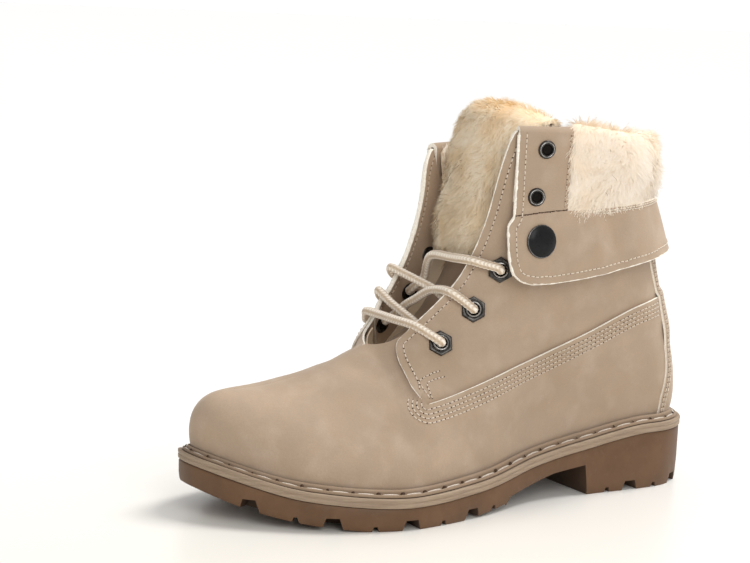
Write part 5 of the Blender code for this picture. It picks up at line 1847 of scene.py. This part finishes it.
def loop(radius, height, steps, rounding=None):
    """Level loop round +Z: a circle, or a hexagon given half its width across flats with its
    corners eased by a rounding."""
    angle = 2 * pi * np.arange(steps) / steps
    if rounding is not None:
        hexagon = radius / np.cos((angle + pi / 6) % (pi / 3) - pi / 6)
        radius = hexagon * (1 - rounding) + radius * 1.07 * rounding
    return np.column_stack([radius * np.cos(angle), radius * np.sin(angle), np.full(steps, height)])


def fitting(name, strips, spot, materials, slot, *nodes, ring=True):
    """Piece turned from strips, as (loop, paint above it), and set on a (point, normal)."""
    loops, paints = zip(*strips)
    steps = len(loops[0])
    form = Form()
    form.grid(np.stack(loops), around=True, over=ring)
    form.paints = np.repeat(paints if ring else paints[:-1], steps).tolist()
    if not ring:
        form.cap(0, steps, paints[0])
        form.cap(form.count - steps, steps, paints[-1])
    mesh = new_mesh(name, form.points[0] * MM, form.faces, form.shades[0], form.paints)
    mend(mesh)
    mesh.transform(facing(*spot))
    place(finished(name, mesh, materials, 38), slot, *nodes)


def nearest_on_upper(side, seat):
    """Rib share and t of the outside's nearest point to a seat."""
    feet, ts = np.meshgrid(np.linspace(0.3, 0.7, 81), np.linspace(0.4, 1, 61))
    gap = np.linalg.norm(upper_point(side, feet, ts) - np.array(seat), axis=-1)
    nearest = np.unravel_index(gap.argmin(), gap.shape)
    return settle(side, np.array([seat]), feet[nearest][None], ts[nearest][None])


def hex_seat(side, row):
    """Place and normal on the quarter for a lace eyelet."""
    foot, t = nearest_on_upper(side, HEX_EYELETS[side][row])
    return quarter_face(side, foot, t)[0], upper_normal(side, foot, t)[0]


def cuff_seat(side, seat):
    """Place and normal on the cuff for a fitting at the CAD's height."""
    z = np.linspace(CUFF_LOW + 8, TAB_TOP - 2, 400)
    share = tab_share(side, z, seat.d)
    miss = np.abs(cuff_height(side, share, z) - level_height(side, share, np.float64(seat.z)))
    share, z = share[miss.argmin()][None], z[miss.argmin()][None]
    return cuff_face(side, share, z)[0], face_normals(side, share, z)[0]


def turned(section, steps):
    """Strips of a fitting from the (radius, height, paint) of its section."""
    return [(loop(radius, height, steps), paint) for radius, height, paint in section]


def hex_strips():
    """Hexagonal flange, then the round lip of the eyelet."""
    flat = HEX_ACROSS_FLATS / 2
    flange = [(loop(share * flat, height, 72, rounding), 0) for share, height, rounding in (
        (0.97, -0.15, 0.0), (1.0, 0.15, 0.0), (1.0, 0.75, 0.05), (0.965, 1.1, 0.1), (0.90, 1.22, 0.2))]
    return flange + turned(((4.25, 1.2, 0), (4.0, 1.0, 1), (3.85, 1.35, 1), (3.6, 1.75, 1),
                            (3.25, 1.85, 1), (2.95, 1.6, 0), (2.75, 1.0, 0), (2.7, -0.2, 0)), 72)


def snap_strips():
    """Rim of worn metal round the snap's low black dome."""
    rim = 0.97 * SNAP_RADIUS
    return turned(((rim - 0.6, -0.1, 1), (rim - 0.1, 0.1, 1), (rim, 0.5, 1), (rim - 0.15, 0.9, 1),
                   (rim - 0.55, 1.05, 0), (rim - 0.85, 1.0, 0), (rim - 1.3, 1.25, 0),
                   (0.66 * rim, 1.75, 0), (0.42 * rim, 2.0, 0), (0.2 * rim, 2.12, 0),
                   (0.06 * rim, 2.15, 0)), 72)


BACK_DEPTH = 1.15
BACK_PLUG_DEPTH = 0.3
PLUG_HEIGHT = 0.45
ROUND_SECTION = (  # radius, height and paint of the tab's eyelet, from outside to inside
    (4.2, -0.1, 0), (4.4, 0.25, 0), (4.25, 0.75, 0), (3.95, 1.05, 0), (3.7, 1.1, 1), (3.45, 0.85, 1),
    (3.3, 1.0, 0), (3.0, 1.2, 0), (2.7, 1.0, 0), (2.5, 0.3, 0), (2.5, -0.2, 0))
BACK_SECTION = (  # the same of a lace eyelet's back
    (4.6, -0.2, 0), (4.7, 0.35, 0), (4.2, 0.75, 0), (3.4, 0.8, 0), (2.9, 0.5, 0), (2.8, -0.2, 0))


def hardware():
    """Lace eyelets with their backs, the tabs' eyelets and snaps, and painted shade in the holes."""
    hexes, snaps = hex_strips(), snap_strips()
    rounds, backs = turned(ROUND_SECTION, 56), turned(BACK_SECTION, 40)
    plugs = Form()
    for side in SIGN:
        for row in range(len(HEX_EYELETS[side])):
            point, normal = hex_seat(side, row)
            inner = point - (LEATHER + BACK_DEPTH) * normal
            fitting(f"eyelet_back_{side}_{row + 1}", backs, (inner, -normal), [GUNMETAL], "gunmetal")
            add_plug(plugs, inner - BACK_PLUG_DEPTH * normal, -normal, 2.9)
            fitting(f"lace_eyelet_{side}_{row + 1}", hexes, (point, normal), [GUNMETAL, STEEL_LIP],
                    "gunmetal", f"hex_eyelet_{side}_{row + 1}")
            add_plug(plugs, point + PLUG_HEIGHT * normal, normal, 2.8)
        for number, seat in enumerate(ROUND_EYELETS, 1):
            point, normal = cuff_seat(side, seat)
            fitting(f"tab_eyelet_{side}_{number}", rounds, (point, normal), [GUNMETAL, BRIGHT_RIM],
                    "gunmetal", f"cuff_eyelet_{side}_{number}")
            add_plug(plugs, point + PLUG_HEIGHT * normal, normal, 2.7)
        fitting(f"tab_snap_{side}", snaps, cuff_seat(side, SNAP_SEAT), [SNAP, SNAP_RIM], "snap_metal",
                f"snap_{side}", ring=False)
    loose(plugs, "eyelet_holes", EYELET_DARK)


def add_plug(form, point, normal, radius):
    """Painted shade in an eyelet's hole: a shallow dished disc."""
    side = unit(np.cross(normal, (0.31, 0.52, 0.8)))
    steps = 24
    cosine, sine = circle(steps)
    rim = cosine * side + sine * np.cross(normal, side)
    loops = [point + share * radius * rim - depth * normal
             for share, depth in ((1.0, 0.6), (1.0, 0.0), (0.5, 0.15))]
    form.grid(np.stack(loops), around=True)
    form.cap(form.count - steps, steps)
    form.cap(form.count - 3 * steps, steps, flip=True)


# ---------------------------------------------------------------- lace
LACE_LINES = {  # each strand's middle line as (x, d, z), from the near eyelet or a far one
    "lace_upper": (((31.9, 133.6, 116.2), (29, 138.3, 117.4), (24.6, 143.8, 119), (11.5, 145.6, 118.6),
                    (-1, 147, 118.5), (-8, 146.4, 116.5), (-13, 144.7, 111.3), (-16, 144.2, 104.8),
                    (-20, 147.5, 99.5), (-24.5, 147.5, 96.5)),),
    "lace_middle": (((28, 144.7, 96.9), (25, 148.5, 100.4), (21.4, 152.4, 103.4), (12.8, 153, 103.6),
                     (4, 153.8, 101.7), (-6, 154.7, 96.3), (-13, 155.9, 92.3), (-17, 159, 87.5),
                     (-23, 162.3, 82)),
                    ((-33.8, 133.5, 113.5), (-32.8, 139, 110), (-31.4, 146, 106), (-29.3, 153, 104.6),
                     (-26, 157.4, 108.9), (-16, 154.7, 106.7), (-6, 152, 104.2), (1.7, 149.3, 101.8),
                     (10, 147.6, 98), (16, 146, 95.5), (21, 143.5, 94.5))),
    "lace_lower": (((27.5, 161.2, 81.4), (24, 165, 84.2), (16, 169, 87.4), (2, 171.5, 88.2),
                    (-12, 172.0, 88.5), (-22, 172.6, 88.4), (-25.5, 170.8, 85.2), (-29, 168.5, 83.2),
                    (-31.8, 164, 81.6), (-33, 160.5, 81.1)),
                   ((-32.6, 145.2, 96.2), (-32, 149.5, 95.2), (-30.8, 155, 94), (-28.8, 160.5, 93.8),
                    (-26, 163.8, 97.6), (-16, 162.7, 93.1), (-7, 161.1, 89.5), (1, 159.6, 86.4),
                    (9, 158, 82.5), (15, 158, 80))),
}
BRAID_STEP = 0.33
BRAID_PITCH = 1.9


def soft_line(points, count):
    """Smooth line through points, evenly spaced, and its length."""
    knots = np.asarray(points, float)
    padded = np.vstack([2 * knots[0] - knots[1], knots, 2 * knots[-1] - knots[-2]])
    u = np.linspace(0, 1, 24, endpoint=False)[:, None]
    out = []
    for i in range(len(knots) - 1):
        p0, p1, p2, p3 = padded[i: i + 4]
        out.append(0.5 * (2 * p1 + (p2 - p0) * u + (2 * p0 - 5 * p1 + 4 * p2 - p3) * u**2
                          + (3 * p1 - p0 - 3 * p2 + p3) * u**3))
    line = np.vstack([*out, knots[-1:]])
    length = running(line)
    return walk(line, np.linspace(0, length[-1], count), length), length[-1]


def add_braid(form, points):
    """Round braided cord: chevron ribs between four darker stripes that run its length."""
    rings = int(soft_line(points, 400)[1] / BRAID_STEP)
    line, size = soft_line(points, rings)
    run = heading(line)
    side = np.empty_like(run)
    side[0] = unit(np.cross(run[0], (0.1, 0.2, 1.0)))
    for i in range(1, rings):
        side[i] = unit(side[i - 1] - (side[i - 1] @ run[i]) * run[i])
    other = np.cross(run, side)
    angle = (2 * pi * np.arange(24) / 24)[None, :]
    along = np.linspace(0, size, rings)[:, None]
    stripe = ease((np.cos(4 * angle) - 0.15) / 0.6)
    rib = np.sin(2 * pi * along / BRAID_PITCH + 2.4 * np.cos(4 * angle))
    ends = np.minimum(ease(along / 0.8), ease((size - along) / 0.8))
    radius = LACE_DIAMETER / 2 * (0.96 + 0.05 * rib * (1 - stripe) - 0.05 * stripe)
    radius = (radius * (0.55 + 0.45 * ends))[..., None]
    cosine, sine = circle(24)
    # shade: lowest on the tan stripes, and low between the ribs as painted shade in the braid's grooves
    form.tube(line[:, None] + radius * (cosine * side[:, None] + sine * other[:, None]),
              shade=(0.68 + 0.32 * rib) * (1 - stripe) + 0.06 * stripe)


def laces():
    """Crossings of the lace; the first strand of each leaves its near eyelet's hole."""
    for row, name in enumerate(("lace_lower", "lace_middle", "lace_upper")):
        form = Form()
        point, normal = hex_seat("lateral", row)
        first, *others = LACE_LINES[name]
        for strand in ((point - 0.4 * normal, point + 1.7 * normal, *first), *others):
            add_braid(form, strand)
        thing = form.make(f"{name}_braid", [LACE], outward=True, sharp=0)
        place(thing, "lace_cord", name)


# ---------------------------------------------------------------- stage
CAMERA_SPOT = (0.76692, -0.60848, 0.23746)
CAMERA_TURN, CAMERA_TILT, CAMERA_ROLL, CAMERA_LENS = 31.2, 8.3, 2.5, 91.2


def camera():
    """The photograph's viewpoint."""
    turn, tilt, roll = radians(CAMERA_TURN), radians(CAMERA_TILT), radians(CAMERA_ROLL)
    back = Vector((cos(turn) * cos(tilt), -sin(turn) * cos(tilt), sin(tilt)))
    right = (-back).cross(Vector((0, 0, 1))).normalized()
    up = right.cross(-back)
    right, up = right * cos(roll) + up * sin(roll), up * cos(roll) - right * sin(roll)
    data = bpy.data.cameras.new("camera")
    data.lens = CAMERA_LENS
    data.sensor_width = 36.0
    thing = linked("camera", data)
    thing.matrix_world = Matrix.Translation(CAMERA_SPOT) @ Matrix((right, up, back)).transposed().to_4x4()
    bpy.context.scene.camera = thing


def light(name, kind, towards, power, **settings):
    """Faintly warm light that shines in a direction."""
    data = bpy.data.lights.new(name, kind)
    data.energy, data.color = power, (1.0, 0.985, 0.96)
    for setting, value in settings.items():
        setattr(data, setting, value)
    thing = linked(name, data)
    thing.rotation_mode = "QUATERNION"
    thing.rotation_quaternion = Vector(towards).to_track_quat("-Z", "Y")
    return thing


FLOOR_REACH = 30000


def floor():
    """Pale floor with painted shade: a darker cream in front of the boot, whiter further off."""
    form = Form()
    side = np.linspace(-1, 1, 9) * FLOOR_REACH
    x, d = np.meshgrid(side, side)
    form.grid(np.stack([x, d, 0 * x - 0.05], -1))
    paint = Paint("pale_floor", Roughness=0.3, Specular_IOR_Level=0.4)
    # painted shade: darker cream near a spot in front of the boot, whiter further off
    painted_falloff = paint.ramp(paint.distance((0.30, -0.42, 0.0)), 0.16, 0.72)
    material = paint.shape(paint.mix(painted_falloff, (0.74, 0.71, 0.645), (0.95, 0.95, 0.945)))
    form.make("floor", [material], sharp=0)


def sky():
    """Soft white room, brighter behind the boot and to the right of the picture."""
    world = bpy.data.worlds.new("studio")
    world.use_nodes = True
    tree = world.node_tree
    where = add_node(tree, "ShaderNodeTexCoord").outputs["Generated"]
    lean = add_node(tree, "ShaderNodeVectorMath", {0: where, 1: (-0.25, 0.85, 0.45)},
                    operation="DOT_PRODUCT")
    level = add_node(tree, "ShaderNodeMapRange", {"Value": lean.outputs["Value"], "From Min": -0.8,
                                                  "From Max": 0.6, "To Min": 0.56, "To Max": 0.70})
    seen = add_node(tree, "ShaderNodeLightPath").outputs["Is Camera Ray"]
    white = add_node(tree, "ShaderNodeMix", {"Factor": seen, "A": level.outputs["Result"], "B": 1.05})
    background = tree.nodes["Background"].inputs
    feed(tree, background["Strength"], white.outputs["Result"])
    feed(tree, background["Color"], (1.0, 1.0, 1.0, 1.0))
    bpy.context.scene.world = world


def studio():
    """Soft daylight from above, filled in from the right of the picture."""
    sky()
    bpy.context.scene.view_settings.view_transform = "Standard"
    light("sun", "SUN", (-0.05, -0.55, -1.0), 2.2, angle=radians(24))
    spot, target = Vector((1.0, -0.30, 0.65)), Vector((0.0, -0.08, 0.08))
    side = light("side", "AREA", target - spot, 5.0, shape="RECTANGLE", size=0.7, size_y=0.7)
    side.location = spot


camera()
studio()
floor()
outsole()
midsole()
welt()
insole()
lining()
vamp()
quarters()
throat_facings()
raw_edges()
back_stay()
facing_stitches()
upper_stitches()
cuff_leather()
cuff_stitches()
cuff_edges()
cuff_fleece()
tongue()
hardware()
laces()
